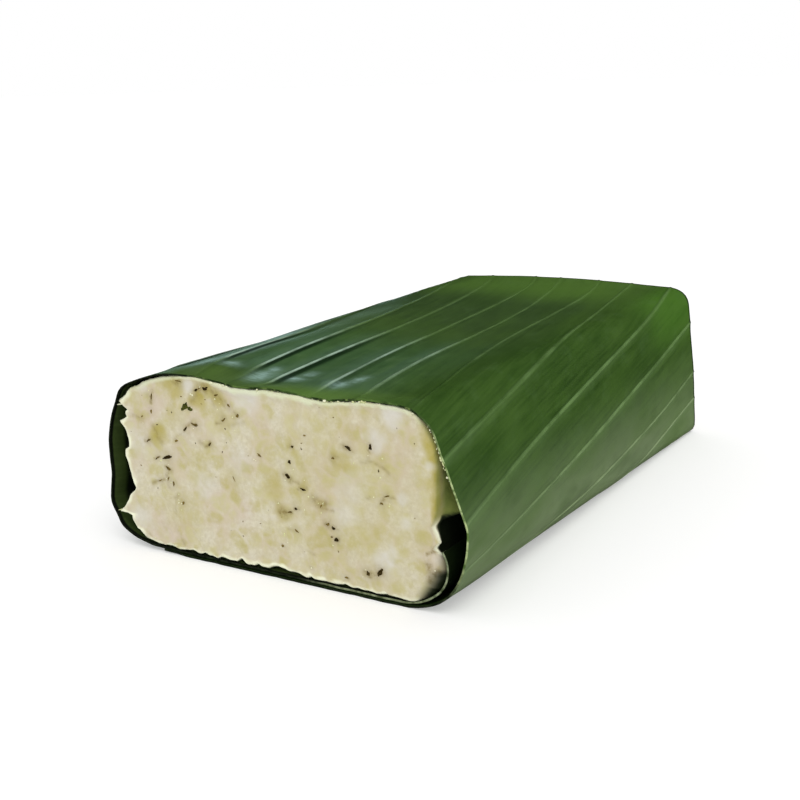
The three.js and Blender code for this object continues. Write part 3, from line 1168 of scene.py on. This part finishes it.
def cake_outline(depth):
    """The cake's outline at one distance behind the front cut, and its four corners' places."""
    for (start, near), (end, far) in zip(CAKE_SECTIONS, CAKE_SECTIONS[1:]):
        if depth <= end:
            corners = blend_sections(near, far, (depth - start) / (end - start))
            line, middles = rounded_line(corners, True)
            turn = middles[CAKE_CORNERS[0]]
            line = np.roll(line, -turn, axis=0)
            line = np.vstack([line, line[:1]])
            return line, [middles[c] - turn for c in CAKE_CORNERS] + [len(line) - 1]
    raise ValueError("the depth lies behind the back cut")


def rim_places(depth, turn):
    """Places on the outline, where turn goes from 0 to 4 with a whole number at each corner."""
    line, marks = cake_outline(depth)
    arcs = arc_lengths(line)
    wanted = np.interp(turn, range(5), arcs[marks])
    return walk_line(line, arcs, wanted)


def square_turn(a, b):
    """Where a place on the rim of a square from -1 to 1 lies, from 0 to 4 round it."""
    low = np.where(b <= -1, (a + 1) / 2, 0)
    right = np.where(a >= 1, 1 + (b + 1) / 2, 0)
    high = np.where(b >= 1, 2 + (1 - a) / 2, 0)
    left = np.where(a <= -1, 3 + (1 - b) / 2, 0)
    turn = np.where(a <= -1, left, np.where(b >= 1, high, np.where(a >= 1, right, low)))
    return turn % 4


def divided_block():
    """A block from -1 to 1 whose six faces are grids of small quads."""
    shape = bmesh.new()
    bmesh.ops.create_cube(shape, size=2)
    for axis, steps in ((0, FACE_STEPS), (2, FACE_RISE), (1, SIDE_ROWS)):
        edges = [e for e in shape.edges if abs(e.verts[0].co[axis] - e.verts[1].co[axis]) > 1e-6]
        bmesh.ops.subdivide_edges(shape, edges=edges, cuts=steps - 1, use_grid_fill=True)
    return shape


def cake_surface(shape):
    """Places of the block's points on the cake, and how each lies to the rim and the cuts."""
    block = np.array([vert.co for vert in shape.verts])
    a, c, b = np.round(block, 6).T
    ring = np.maximum(np.abs(a), np.abs(b))
    safe = np.maximum(ring, 1e-9)
    edge_a = np.where(ring == np.abs(a), np.sign(a), a / safe)
    edge_b = np.where(ring == np.abs(b), np.sign(b), b / safe)
    turn = square_turn(edge_a, edge_b)
    depth = crowd_ends((c + 1) / 2)
    places = np.zeros(block.shape)
    reach = np.zeros(len(block))
    rim = np.zeros((len(block), 2))
    outward = np.zeros((len(block), 2))
    for distance in np.unique(depth):
        here = depth == distance
        rim[here], outward[here] = rim_places(distance, turn[here])
        middle = rim[here][ring[here] >= 1].mean(0)
        away = rim[here] - middle
        places[np.ix_(here, (0, 2))] = middle + away * ring[here][:, None]
        reach[here] = (1 - ring[here]) * np.linalg.norm(away, axis=1)
    places[:, 1] = FRONT_Y + depth
    return places, rim, outward, ring, reach, depth


def shape_rim(places, rim, outward, reach, depth):
    """Makes the sides ragged, with the front's spurs, notches and top lip, and dents them."""
    x, y, z = places.T
    rim_x, rim_z = rim.T
    sideways, upward = outward.T
    shift = sum(height * wander(x, y, z, size) for height, size in RIM_WAVES) - RIM_INSET
    near_front = np.exp(-depth / RIM_LENGTH)
    for table, side in ((LEFT_RIM, -1), (RIGHT_RIM, 1)):
        heights, spots = np.array(table).T
        facing = smooth_step(0.55, 0.85, side * sideways) * (side * rim_x > 0)
        facing = facing * smooth_step(heights[0] - 1, heights[0], rim_z)
        facing = facing * smooth_step(heights[-1] + 2, heights[-1] - 1, rim_z)
        shift += facing * near_front * side * (np.interp(rim_z, heights, spots) - rim_x)
    on_bottom = smooth_step(-0.6, -0.9, upward)
    for notch_x, half_width, drop in BOTTOM_NOTCHES:
        notch = np.exp(-(((rim_x - notch_x) / half_width) ** 2))
        shift -= on_bottom * near_front * drop * notch
    shift += on_bottom * near_front * (0.35 + 0.35 * wander(x, y, z, 2.2))
    shift += 0.6 * smooth_step(0.5, 0.9, upward) * near_front
    shift += top_drape(rim_x, depth, upward)
    upper_left = smooth_step(-22, -32, rim_x) * smooth_step(26, 44, rim_z)
    shift -= LEFT_DENT * upper_left * between((1.5, 7), (60, 110), depth)
    left_of_top = between((-49, -43), (-18, -2), rim_x) * smooth_step(40, 46, rim_z)
    shift -= BACK_DROP * left_of_top * depth / LENGTH
    shift *= smooth_step(4.5, 0, reach)
    places[:, 0] += sideways * shift
    places[:, 2] = np.maximum(places[:, 2] + upward * shift, LOWEST)


def cut_relief(x, z, beans, settings):
    """How far a cut face stands out at every place, and the pattern of beans in it."""
    nearest, inside, seam = bean_pattern(x, z, beans)
    bean = smooth_step(0.0, 0.55, seam) * smooth_step(1.5, 0.9, inside)
    tone = beans[nearest, 5] * bean
    lift = beans[nearest, 6]
    still = np.zeros(x.shape)
    relief = sum(height * wander(x, still + seed, z, size) for height, size, seed in FACE_WAVES)
    relief = relief + settings.bean_relief / MM * bean * (0.2 + 0.6 * lift)
    return relief, bean, tone


def cut_zones(x, z):
    """How far each place lies in the right edge, in the corner below it and along the top."""
    on_right = smooth_step(40, 46, x) * smooth_step(20, 24, z)
    low_right = smooth_step(40, 44, x) * smooth_step(15.5, 12.5, z)
    on_top = smooth_step(44, 46, z) * smooth_step(-30, -18, x)
    return on_right, low_right, on_top


def front_rounding(x, z):
    """How wide the rounding along the front cut's rim is."""
    on_right, low_right, on_top = cut_zones(x, z)
    return EDGE_ROUNDING + 2.2 * on_right + 3.4 * low_right - 0.35 * on_top * (1 - on_right)


def cut_inset(x, z, reach, relief, rounding):
    """How far behind the leaf's rim a cut face lies at every place."""
    on_right, low_right, on_top = cut_zones(x, z)
    close = np.clip(1 - reach / rounding, 0, 1)
    recess = RIM_DROP * rounding * (1 - np.sqrt(1 - close**2))
    lip = smooth_step(2.5, 0.8, reach) * smooth_step(0, 0.5 - 0.4 * on_top, reach)
    lip *= (1 - on_right) * (1 - low_right) * (0.3 + 0.2 * on_top)
    return FACE_INSET - (relief * smooth_step(0, 1.5, reach) + lip) + recess


def cut_rim(x, z, reach):
    """How strongly the pale rim of mould shows on a cut face."""
    torn = smooth_step(42.5, 44.5, x) * smooth_step(24.5, 23, z)
    width = 1.2 + 0.8 * wander(x, 0 * x, z, 2.5) - 1.1 * torn
    return smooth_step(width + 0.4, width - 0.5, reach)


def back_values(x, z, reach):
    """What the finish reads on the back cut, apart from its beans."""
    return {"rim": cut_rim(x, z, reach)}


def front_values(x, z, reach):
    """What the finish reads on the front cut, apart from its beans."""
    on_right, low_right, _ = cut_zones(x, z)
    width = 1.8 + 1.4 * smooth_step(34, 42, z) + 0.8 * wander(x, 0 * x + 6, z, 5.0)
    band = smooth_step(width + 1.3, width - 1.0, reach) * on_right
    corner = low_right * smooth_step(12.5, 9.5, z + 0.25 * (48 - x))
    lobe = low_right * smooth_step(45.8, 49, x) * smooth_step(16, 14.5, z)
    return {
        "yellow": np.maximum(patch_strength(x, z, YELLOW_PATCHES), 1.3 * band),
        "white": patch_strength(x, z, WHITE_PATCHES),
        "brown": stain_strength(x, z),
        # Olive on the right edge: partly staining from the leaf and partly painted green light from
        # it.
        "stain_and_leaf_light": 0.8 * on_right * smooth_step(1.3, 0.0, reach),
        "rim": cut_rim(x, z, reach) * (1 - on_right),
        "shade": np.maximum(corner * smooth_step(4.6, 0.8, reach), 0.6 * lobe),
    }


def side_values(x, z, depth):
    """What the finish reads on the sides, from the front cut backwards."""
    on_right, low_right, _ = cut_zones(x, z)
    under = smooth_step(43, 44.5, x) * smooth_step(24.2, 23.2, z)
    rim_depth = 3.0 - 2.7 * smooth_step(42, 45, x)
    # Olive on the sides: partly staining from the leaf and partly painted green light from it.
    right_stain_and_leaf_light = on_right * smooth_step(-1.5, 1.5, depth)
    return {
        "yellow": on_right,
        # Brown painted shade on the sides round the lower right corner.
        "brown": low_right,
        "stain_and_leaf_light": np.maximum(smooth_step(0.2, 5.0, depth), right_stain_and_leaf_light),
        "rim": smooth_step(rim_depth, 0.1, depth) * (1 - on_right),
        "shade": np.maximum(low_right, under * smooth_step(0.1, 0.5, depth)),
    }


def make_room(places, depth, rounding):
    """Moves the sides' rows in behind both cut faces."""
    ahead = (depth > 0) & (depth < LENGTH / 2)
    inset = FACE_INSET + RIM_DROP * rounding[ahead]
    places[ahead, 1] += inset * smooth_step(END_LENGTH, 0, depth[ahead]) + CLEARANCE
    behind = (depth >= LENGTH / 2) & (depth < LENGTH)
    inset = FACE_INSET + RIM_DROP * EDGE_ROUNDING
    places[behind, 1] -= inset * smooth_step(LENGTH - END_LENGTH, LENGTH, depth[behind])


def make_cake(settings):
    """The cake with both cut faces, and the attributes that its finish reads."""
    shape = divided_block()
    places, rim, outward, ring, reach, depth = cake_surface(shape)
    shape_rim(places, rim, outward, reach, depth)
    x, z = places[:, 0], places[:, 2]
    values = {name: np.zeros(len(places)) for name in VALUE_NAMES}
    draw = random.Random(settings.seed)
    for is_front in (True, False):
        face = depth == (0 if is_front else LENGTH)
        spots = x[face], z[face]
        relief, bean, tone = cut_relief(*spots, scatter_beans(settings, draw), settings)
        rounding = front_rounding(*spots) if is_front else EDGE_ROUNDING
        inset = cut_inset(*spots, reach[face], relief, rounding)
        places[face, 1] += inset if is_front else -inset
        found = (front_values if is_front else back_values)(*spots, reach[face])
        found.update(bean=bean, tone=tone)
        for name, numbers in found.items():
            values[name][face] = numbers
    side = ring >= 1
    for name, numbers in side_values(x[side], z[side], depth[side]).items():
        values[name][side] = numbers
    _, low_right, _ = cut_zones(x, z)
    values["rim"] *= 1 - low_right
    make_room(places, depth, front_rounding(x, z))
    write_places(shape, places)
    bmesh.ops.recalc_face_normals(shape, faces=shape.faces)
    return shape, values


def tempeh_material(settings):
    """White mould with paler and yellower beans in it, stained olive with painted green light from
    the leaf and darkened with painted shade, where they say so.
    """
    material, shader, signal = new_material("tempeh")
    place = signal.node("TexCoord", output="Object")
    bean, tone, yellow, white, brown, stain_and_leaf_light, rim, shade = map(signal.attribute, VALUE_NAMES)
    broad = signal.noise(place, 95.0, 4.0, 0.6)
    cloudy = signal.noise(place, 190.0, 4.0, 0.6)
    deep = signal.noise(place, 240.0, 3.0)
    soft = signal.noise(place, 420.0, 3.0, 0.6)
    fluffy = signal.noise(place, 1100.0, 4.0, 0.65)
    high = place.node("SeparateXYZ", None, {"Vector": place}, "Z").step(0.04, 0.045)
    mould = paint(
        settings.mould_colour,
        (fluffy.step(0.3, 0.75), srgb(212, 206, 184)),
        (broad.step(0.42, 0.6) * 0.75, srgb(201, 185, 171)),
        (soft.step(0.5, 0.75) * 0.4, srgb(214, 210, 194)),
    )
    flesh = (0.5 + 0.3 * tone + 0.9 * (soft - 0.5)).mix(settings.bean_colour, srgb(184, 176, 114))
    # Olive: partly staining from the leaf and partly painted green light from it.
    olive_stain_and_leaf_light = deep.step(0.35, 0.65).mix(srgb(102, 116, 50), srgb(124, 134, 64))
    rim = rim * (1 - stain_and_leaf_light) * soft.step(0.2, 0.45) * (1.0 - 0.3 * high)
    colour = paint(
        mould,
        ((0.4 + 0.5 * bean) * cloudy.step(0.32, 0.68), flesh),
        ((1 - bean) * soft.step(0.45, 0.7) * 0.2, srgb(212, 207, 196)),
        (yellow * (0.45 + 1.1 * (soft - 0.1)) * 0.8, srgb(174, 162, 86)),
        (white * (0.5 + soft) * 0.75, srgb(212, 210, 204)),
        (brown * (0.5 + 0.7 * fluffy.step(0.35, 0.62)) * 0.85, srgb(124, 106, 50)),
        (stain_and_leaf_light, olive_stain_and_leaf_light),
        (rim, high.mix(srgb(236, 238, 210), srgb(216, 224, 188))),
        (shade, srgb(26, 36, 12)),
    )
    relief = fluffy * 0.5 + soft * 0.5
    bump = signal.node("Bump", None, {"Strength": 0.5, "Distance": 0.0002, "Height": relief})
    roughness = 0.88 - 0.25 * bean
    plug(shader, Base_Color=colour, Roughness=roughness, Normal=bump, Specular_IOR_Level=0.3)
    return material


class CakeSettings(bpy.types.PropertyGroup):
    """Sizes and colours of the tempeh and of what lies in its cut face."""

    seed: IntProperty(
        name="Seed",
        description="Starts the random draws for beans and specks",
        default=11,
    )
    bean_length: FloatProperty(
        name="Bean Length",
        description="Usual length of a soybean in the cut face",
        default=7.2 * MM,
        min=1 * MM,
        unit="LENGTH",
    )
    bean_relief: FloatProperty(
        name="Bean Relief",
        description="How far cut beans stand out of the mould between them",
        default=0.16 * MM,
        min=0.0,
        unit="LENGTH",
    )
    mould_colour: FloatVectorProperty(
        name="Mould Colour",
        description="Colour of the white mould between the beans",
        default=srgb(197, 189, 164),
        subtype="COLOR",
        size=3,
    )
    bean_colour: FloatVectorProperty(
        name="Bean Colour",
        description="Colour of the cut beans",
        default=srgb(199, 193, 148),
        subtype="COLOR",
        size=3,
    )


class TEMPEH_OT_cake(bpy.types.Operator):
    """Makes the block of tempeh with its two cut faces"""

    bl_idname = "tempeh.cake"
    bl_label = "Tempeh Block"

    def execute(self, context):
        settings = context.scene.tempeh_cake
        shape, values = make_cake(settings)
        cake = finish_piece("tempeh_block", shape, [tempeh_material(settings)])
        for name, numbers in values.items():
            write_attribute(cake, name, numbers)
        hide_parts("cake")
        return {"FINISHED"}


# ---- Bits in and on the cut face -----------------------------------------------------------
BIT_SUBDIVISIONS = 2
STRAND_SUBDIVISIONS = 3
STRAND_THICKNESS = 0.16  # half across, in the middle
STRAND_UNEVENNESS = 0.05
STRAND_INSET = 0.9  # how far the strands lie behind the front cut
RIM_HEAPS = 17  # places on the leaf's front rim where crumbs gather
HEAPS_ACROSS = (-26, 72, 15)  # from where to where on the sheet, and where most of them lie
CRUMB_SPREAD = 1.6  # of the crumbs round their heap or crack
LOOK_FROM = 5.0  # how far in front of a cut the search for its surface starts
LOOK_BEYOND = 3.0  # how far behind the cut it ends
SCATTER_X = (-46, 43)
SCATTER_Z = (3, 46)
SPECK_LENGTH = 0.55  # of the longest scattered bit in the front cut
BACK_BIT_LENGTH = 2.2  # and in the back cut
# The lumps that a bit of hull is made of: their share of its size, and their place along it.
HULL_LUMPS = [(1, 0), (0.6, 0.3), (0.55, -0.32)]


def cut_surface():
    """A tree of the made cake's faces, in which a cut's surface can be looked up."""
    mesh = bpy.data.objects["tempeh_block"].data
    return BVHTree.FromPolygons([v.co for v in mesh.vertices], [p.vertices for p in mesh.polygons])


def place_on_cut(surface, x, z, is_front):
    """The place on a cut's surface at x and z, in millimetres, or nothing outside the cut."""
    towards = 1 if is_front else -1
    start = (x * MM, (towards * (FRONT_Y - LOOK_FROM)) * MM, z * MM)
    search = (LOOK_FROM + LOOK_BEYOND) * MM
    place = surface.ray_cast(Vector(start), Vector((0, towards, 0)), search)[0]
    return place / MM if place else None


def add_lump(shape, place, size, turn, draw, subdivisions=BIT_SUBDIVISIONS, uneven=0.3):
    """Adds an uneven lump with these half sizes, turned in the plane of the cut."""
    made = bmesh.ops.create_icosphere(shape, subdivisions=subdivisions, radius=1)
    phase = Vector((draw.uniform(0, 99), draw.uniform(0, 99), draw.uniform(0, 99)))
    spin = Matrix.Rotation(-turn, 3, "Y")
    for vert in made["verts"]:
        swell = 1 + uneven * 2 * noise.noise(vert.co * 1.5 + phase)
        local = Vector((vert.co.x * size[0], vert.co.y * size[1], vert.co.z * size[2])) * swell
        vert.co = (spin @ local + Vector(place)) * MM
    return len(made["verts"])


def plain_material(name, colour, other, scale, roughness):
    """A finish that wanders between two colours."""
    material, shader, signal = new_material(name)
    place = signal.node("TexCoord", output="Object")
    share = signal.noise(place, scale, 2.0).step(0.35, 0.65)
    plug(shader, Base_Color=share.mix(colour, other), Roughness=roughness, Specular_IOR_Level=0.1)
    return material


def hull_material(settings):
    material, shader, signal = new_material("hull")
    place = signal.node("TexCoord", output="Object")
    share = signal.noise(place, 900.0, 2.0)
    dark = signal.attribute("darkness") + 0.8 * (share - 0.5)
    colour = dark.step(0.1, 0.8).mix(srgb(122, 104, 54), settings.hull_colour)
    plug(shader, Base_Color=colour, Roughness=0.8, Specular_IOR_Level=0.05)
    return material


def hull_bits(settings, draw):
    """Whether each bit is in front, its place, size and turn, and its darkness."""
    bits = [(True, *bit[:5], bit[6]) for bit in HULL_BITS]
    for number in range(len(HULL_BITS) + 2 * settings.crumbs):
        is_front = number < settings.crumbs
        x, z = draw.uniform(*SCATTER_X), draw.uniform(*SCATTER_Z)
        if is_front:
            length = SPECK_LENGTH * draw.uniform(0.4, 1)
        else:
            length = BACK_BIT_LENGTH * draw.uniform(0.3, 1) ** 2
        width = length * draw.uniform(0.35, 0.85)
        bits.append((is_front, x, z, length, width, draw.uniform(0, 180), draw.uniform(0, 0.8)))
    return bits


class TEMPEH_OT_hull_bits(bpy.types.Operator):
    """Sets bits of dark hull in both cut faces"""

    bl_idname = "tempeh.hull_bits"
    bl_label = "Hull Bits"

    def execute(self, context):
        settings = context.scene.tempeh_bits
        draw = random.Random(settings.seed)
        surface = cut_surface()
        shape = bmesh.new()
        darkness = []
        for is_front, x, z, length, width, turn, dark in hull_bits(settings, draw):
            place = place_on_cut(surface, x, z, is_front)
            if place:
                size = (0.42 * length, 0.2 * min(length, width) + 0.05, 0.42 * width)
                angle = math.radians(turn)
                for share, along in HULL_LUMPS:
                    step = Vector((math.cos(angle), 0, math.sin(angle))) * (along * length)
                    spread = Vector((0, 0, draw.uniform(-0.25, 0.25) * width))
                    part = [share * half for half in size]
                    points = add_lump(shape, place + step + spread, part, angle, draw)
                    darkness.extend([dark + draw.uniform(-0.15, 0.15)] * points)
        bits = finish_piece("hull_bits", shape, [hull_material(settings)])
        write_attribute(bits, "darkness", darkness)
        return {"FINISHED"}


class TEMPEH_OT_green_bits(bpy.types.Operator):
    """Sets the green bits in the front cut"""

    bl_idname = "tempeh.green_bits"
    bl_label = "Green Bits"

    def execute(self, context):
        settings = context.scene.tempeh_bits
        draw = random.Random(settings.seed + 1)
        surface = cut_surface()
        shape = bmesh.new()
        for x, z, length, width, turn in GREEN_BITS:
            place = place_on_cut(surface, x, z, True)
            add_lump(shape, place, (length / 2, 0.3, width / 2), math.radians(turn), draw)
        green = plain_material("green_hull", settings.green_colour, srgb(34, 38, 6), 1100.0, 0.8)
        finish_piece("green_bits", shape, [green])
        return {"FINISHED"}


def add_strands(shape, draw):
    """Adds the strands of mould that bridge the left gap."""
    for x, z, far_x, far_z in STRANDS:
        middle = ((x + far_x) / 2, FRONT_Y + STRAND_INSET, (z + far_z) / 2)
        half = math.hypot(far_x - x, far_z - z) / 2
        turn = math.atan2(far_z - z, far_x - x)
        size = (half, STRAND_THICKNESS, STRAND_THICKNESS)
        add_lump(shape, middle, size, turn, draw, STRAND_SUBDIVISIONS, STRAND_UNEVENNESS)


def add_rim_crumbs(shape, count, draw):
    """Adds heaps of crumbs along the inner side of the leaf's front rim."""
    line, middles = rounded_line(np.array(LEAF_FRONT, float), False)
    arcs = arc_lengths(line)
    shoulder = arcs[middles[SHOULDER_CORNER]]
    heaps = [draw.triangular(*HEAPS_ACROSS) for _ in range(RIM_HEAPS)]
    for _ in range(count):
        across = draw.choice(heaps) + draw.gauss(0, CRUMB_SPREAD)
        (spot,), (out,) = walk_line(line, arcs, np.array([across + shoulder]))
        inward = LEAF_THICKNESS + draw.uniform(0.0, 0.35)
        x, z = spot - out * (inward - top_drape(spot[0], 0.0, out[1]))
        length = 0.9 * draw.uniform(0.35, 1) ** 2
        size = (length / 2, draw.uniform(0.12, 0.3), length * draw.uniform(0.2, 0.45))
        turn = math.atan2(out[0], -out[1]) + draw.uniform(-0.4, 0.4)
        add_lump(shape, (x, FRONT_Y + draw.uniform(0.1, 0.7), z), size, turn, draw)


def add_face_crumbs(shape, count, draw):
    """Adds pale crumbs beside the cracks in the front cut."""
    surface = cut_surface()
    for _ in range(count):
        near_x, near_z, far_x, far_z, _, _ = draw.choice(CRACKS)
        share = draw.random()
        x = near_x + share * (far_x - near_x) + draw.gauss(0, CRUMB_SPREAD)
        z = near_z + share * (far_z - near_z) + draw.gauss(0, CRUMB_SPREAD)
        place = place_on_cut(surface, x, z, True)
        if place:
            half = draw.uniform(0.12, 0.24)
            size = (half, 0.4 * half, half * draw.uniform(0.6, 1))
            add_lump(shape, place, size, draw.uniform(0, math.pi), draw)


class TEMPEH_OT_mould(bpy.types.Operator):
    """Adds strands and crumbs of mould on the leaf's front rim and the front cut"""

    bl_idname = "tempeh.mould"
    bl_label = "Mould Strands and Crumbs"

    def execute(self, context):
        settings = context.scene.tempeh_bits
        draw = random.Random(settings.seed + 2)
        shape = bmesh.new()
        add_strands(shape, draw)
        add_rim_crumbs(shape, settings.rim_crumbs, draw)
        add_face_crumbs(shape, settings.face_crumbs, draw)
        pale = plain_material("mould_crumbs", srgb(234, 234, 204), srgb(212, 216, 160), 500.0, 0.9)
        finish_piece("mould_crumbs", shape, [pale])
        return {"FINISHED"}


class BitSettings(bpy.types.PropertyGroup):
    """The small bits in and on the cut faces."""

    seed: IntProperty(
        name="Seed",
        description="Starts the random draws for the bits",
        default=5,
    )
    crumbs: IntProperty(
        name="Small Bits",
        description="How many small bits of hull each cut has beside the larger ones",
        default=34,
        min=0,
    )
    rim_crumbs: IntProperty(
        name="Rim Crumbs",
        description="How many crumbs of mould stick to the leaf's front rim",
        default=70,
        min=0,
    )
    face_crumbs: IntProperty(
        name="Face Crumbs",
        description="How many pale crumbs of mould lie beside the cracks in the front cut",
        default=60,
        min=0,
    )
    hull_colour: FloatVectorProperty(
        name="Hull Colour",
        description="Colour of the dark bits of hull",
        default=srgb(44, 34, 10),
        subtype="COLOR",
        size=3,
    )
    green_colour: FloatVectorProperty(
        name="Green Hull Colour",
        description="Colour of the green bits",
        default=srgb(78, 82, 26),
        subtype="COLOR",
        size=3,
    )


# ---- Stage ---------------------------------------------------------------------------------
CAMERA_PLACE = Vector((189.4, -323.9, 124.5)) * MM
CAMERA_AZIMUTH = math.radians(32.4)
CAMERA_ELEVATION = math.radians(14.7)
CAMERA_ROLL = math.radians(-1.6)
CAMERA_LENS = 58.5
SENSOR_WIDTH = 36.0
FLOOR_RADIUS = 6.0  # metres, as are the sizes of the sheen light
FLOOR_SIDES = 96
# Lights come from degrees round from the front cut to the right, and degrees up.
MAIN_LIGHT_FROM = (38, 52)
MAIN_LIGHT_SPREAD = math.radians(35)
SHEEN_LIGHT_FROM = (232, 2)
SHEEN_LIGHT_DISTANCE = 0.9
SHEEN_LIGHT_SIZE = (0.6, 0.05)
WARM_WHITE = (1, 0.99, 0.96)
COOL_GREEN = (0.62, 1, 0.88)


class StageSettings(bpy.types.PropertyGroup):
    """Light and surroundings."""

    sky_strength: FloatProperty(
        name="Surrounding Light",
        description="Strength of the even light from all round",
        default=1.0,
        min=0.0,
    )
    sun_strength: FloatProperty(
        name="Main Light",
        description="Strength of the wide light above the front right",
        default=0.9,
        min=0.0,
    )
    sheen_power: FloatProperty(
        name="Sheen Light",
        description="Power of the low, cool light behind the left side",
        default=0.15,
        min=0.0,
        unit="POWER",
    )


def light_direction(azimuth, elevation):
    """Towards a light, by degrees round from the front cut to the right and degrees up."""
    around, up = math.radians(azimuth), math.radians(elevation)
    level = math.cos(up)
    return Vector((math.sin(around) * level, -math.cos(around) * level, math.sin(up)))


def add_light(name, kind, direction, distance, power, colour):
    """A light that shines on the cake from this direction, hidden from the camera."""
    lamp = bpy.data.lights.new(name, kind)
    lamp.energy = power
    lamp.color = colour
    holder = bpy.data.objects.new(name, lamp)
    bpy.context.scene.collection.objects.link(holder)
    holder.location = direction * distance
    holder.rotation_euler = direction.to_track_quat("Z", "Y").to_euler()
    holder.visible_camera = False
    return lamp


def floor_material():
    material, shader, _ = new_material("pale_floor")
    plug(shader, Base_Color=(0.72, 0.72, 0.72, 1), Roughness=0.95, Specular_IOR_Level=0.1)
    plug(shader, Emission_Color=(1, 1, 1, 1), Emission_Strength=0.34)
    return material


def make_world(strength):
    """White round the horizon and a little darker overhead."""
    world = bpy.data.worlds.new("soft_surroundings")
    world.use_nodes = True
    signal = Signal(world.node_tree)
    place = signal.node("TexCoord", output="Generated")
    height = place.node("SeparateXYZ", None, {"Vector": place}, "Z")
    colour = height.step(0.12, 0.5).mix((1.0, 1.0, 1.0), (0.8, 0.8, 0.8))
    background = world.node_tree.nodes["Background"]
    plug(background, Color=colour, Strength=strength)
    world.cycles_visibility.glossy = False
    bpy.context.scene.world = world


class TEMPEH_OT_stage(bpy.types.Operator):
    """Sets up the floor, the soft light and the camera"""

    bl_idname = "tempeh.stage"
    bl_label = "Stage"

    def execute(self, context):
        settings = context.scene.tempeh_stage
        scene = context.scene
        disc = bmesh.new()
        bmesh.ops.create_circle(disc, cap_ends=True, segments=FLOOR_SIDES, radius=FLOOR_RADIUS)
        mesh = bpy.data.meshes.new("floor")
        disc.to_mesh(mesh)
        disc.free()
        mesh.materials.append(floor_material())
        floor = bpy.data.objects.new("floor", mesh)
        scene.collection.objects.link(floor)
        floor.visible_glossy = False
        make_world(settings.sky_strength)
        above = light_direction(*MAIN_LIGHT_FROM)
        sun = add_light("main_light", "SUN", above, 1.0, settings.sun_strength, WARM_WHITE)
        sun.angle = MAIN_LIGHT_SPREAD
        behind = light_direction(*SHEEN_LIGHT_FROM)
        power = settings.sheen_power
        sheen = add_light("sheen_light", "AREA", behind, SHEEN_LIGHT_DISTANCE, power, COOL_GREEN)
        sheen.shape = "RECTANGLE"
        sheen.size, sheen.size_y = SHEEN_LIGHT_SIZE
        scene.view_settings.view_transform = "Standard"
        lens = bpy.data.cameras.new("camera")
        lens.lens = CAMERA_LENS
        lens.sensor_width = SENSOR_WIDTH
        camera = bpy.data.objects.new("camera", lens)
        camera.location = CAMERA_PLACE
        turn = Euler((math.pi / 2 - CAMERA_ELEVATION, 0, CAMERA_AZIMUTH), "XYZ").to_matrix()
        camera.rotation_euler = (turn @ Matrix.Rotation(CAMERA_ROLL, 3, "Z")).to_euler()
        scene.collection.objects.link(camera)
        scene.camera = camera
        return {"FINISHED"}


# ---- Add-on --------------------------------------------------------------------------------


class TEMPEH_PT_panel(bpy.types.Panel):
    """Lists the pieces of the wrapped cake"""

    bl_idname = "TEMPEH_PT_panel"
    bl_label = "Wrapped Tempeh Cake"
    bl_space_type = "VIEW_3D"
    bl_region_type = "UI"
    bl_category = "Tempeh"

    def draw(self, context):
        for group, operators in PANEL_ROWS:
            box = self.layout.box()
            settings = getattr(context.scene, group)
            for name in settings.__annotations__:
                box.prop(settings, name)
            for operator in operators:
                box.operator(operator.bl_idname)


SETTINGS = {
    "tempeh_leaf": LeafSettings,
    "tempeh_cake": CakeSettings,
    "tempeh_bits": BitSettings,
    "tempeh_stage": StageSettings,
}
PANEL_ROWS = [
    ("tempeh_leaf", [TEMPEH_OT_leaf]),
    ("tempeh_cake", [TEMPEH_OT_cake]),
    ("tempeh_bits", [TEMPEH_OT_hull_bits, TEMPEH_OT_green_bits, TEMPEH_OT_mould]),
    ("tempeh_stage", [TEMPEH_OT_stage]),
]
OPERATORS = [operator for _, operators in PANEL_ROWS for operator in operators]
CLASSES = [*SETTINGS.values(), *OPERATORS, TEMPEH_PT_panel]


def register():
    for each in CLASSES:
        bpy.utils.register_class(each)
    for name, group in SETTINGS.items():
        setattr(bpy.types.Scene, name, PointerProperty(type=group))


def unregister():
    for name in SETTINGS:
        delattr(bpy.types.Scene, name)
    for each in reversed(CLASSES):
        bpy.utils.unregister_class(each)


def main():
    register()
    bpy.ops.tempeh.leaf()
    bpy.ops.tempeh.cake()
    bpy.ops.tempeh.hull_bits()
    bpy.ops.tempeh.green_bits()
    bpy.ops.tempeh.mould()
    bpy.ops.tempeh.stage()


if __name__ == "__main__":
    main()
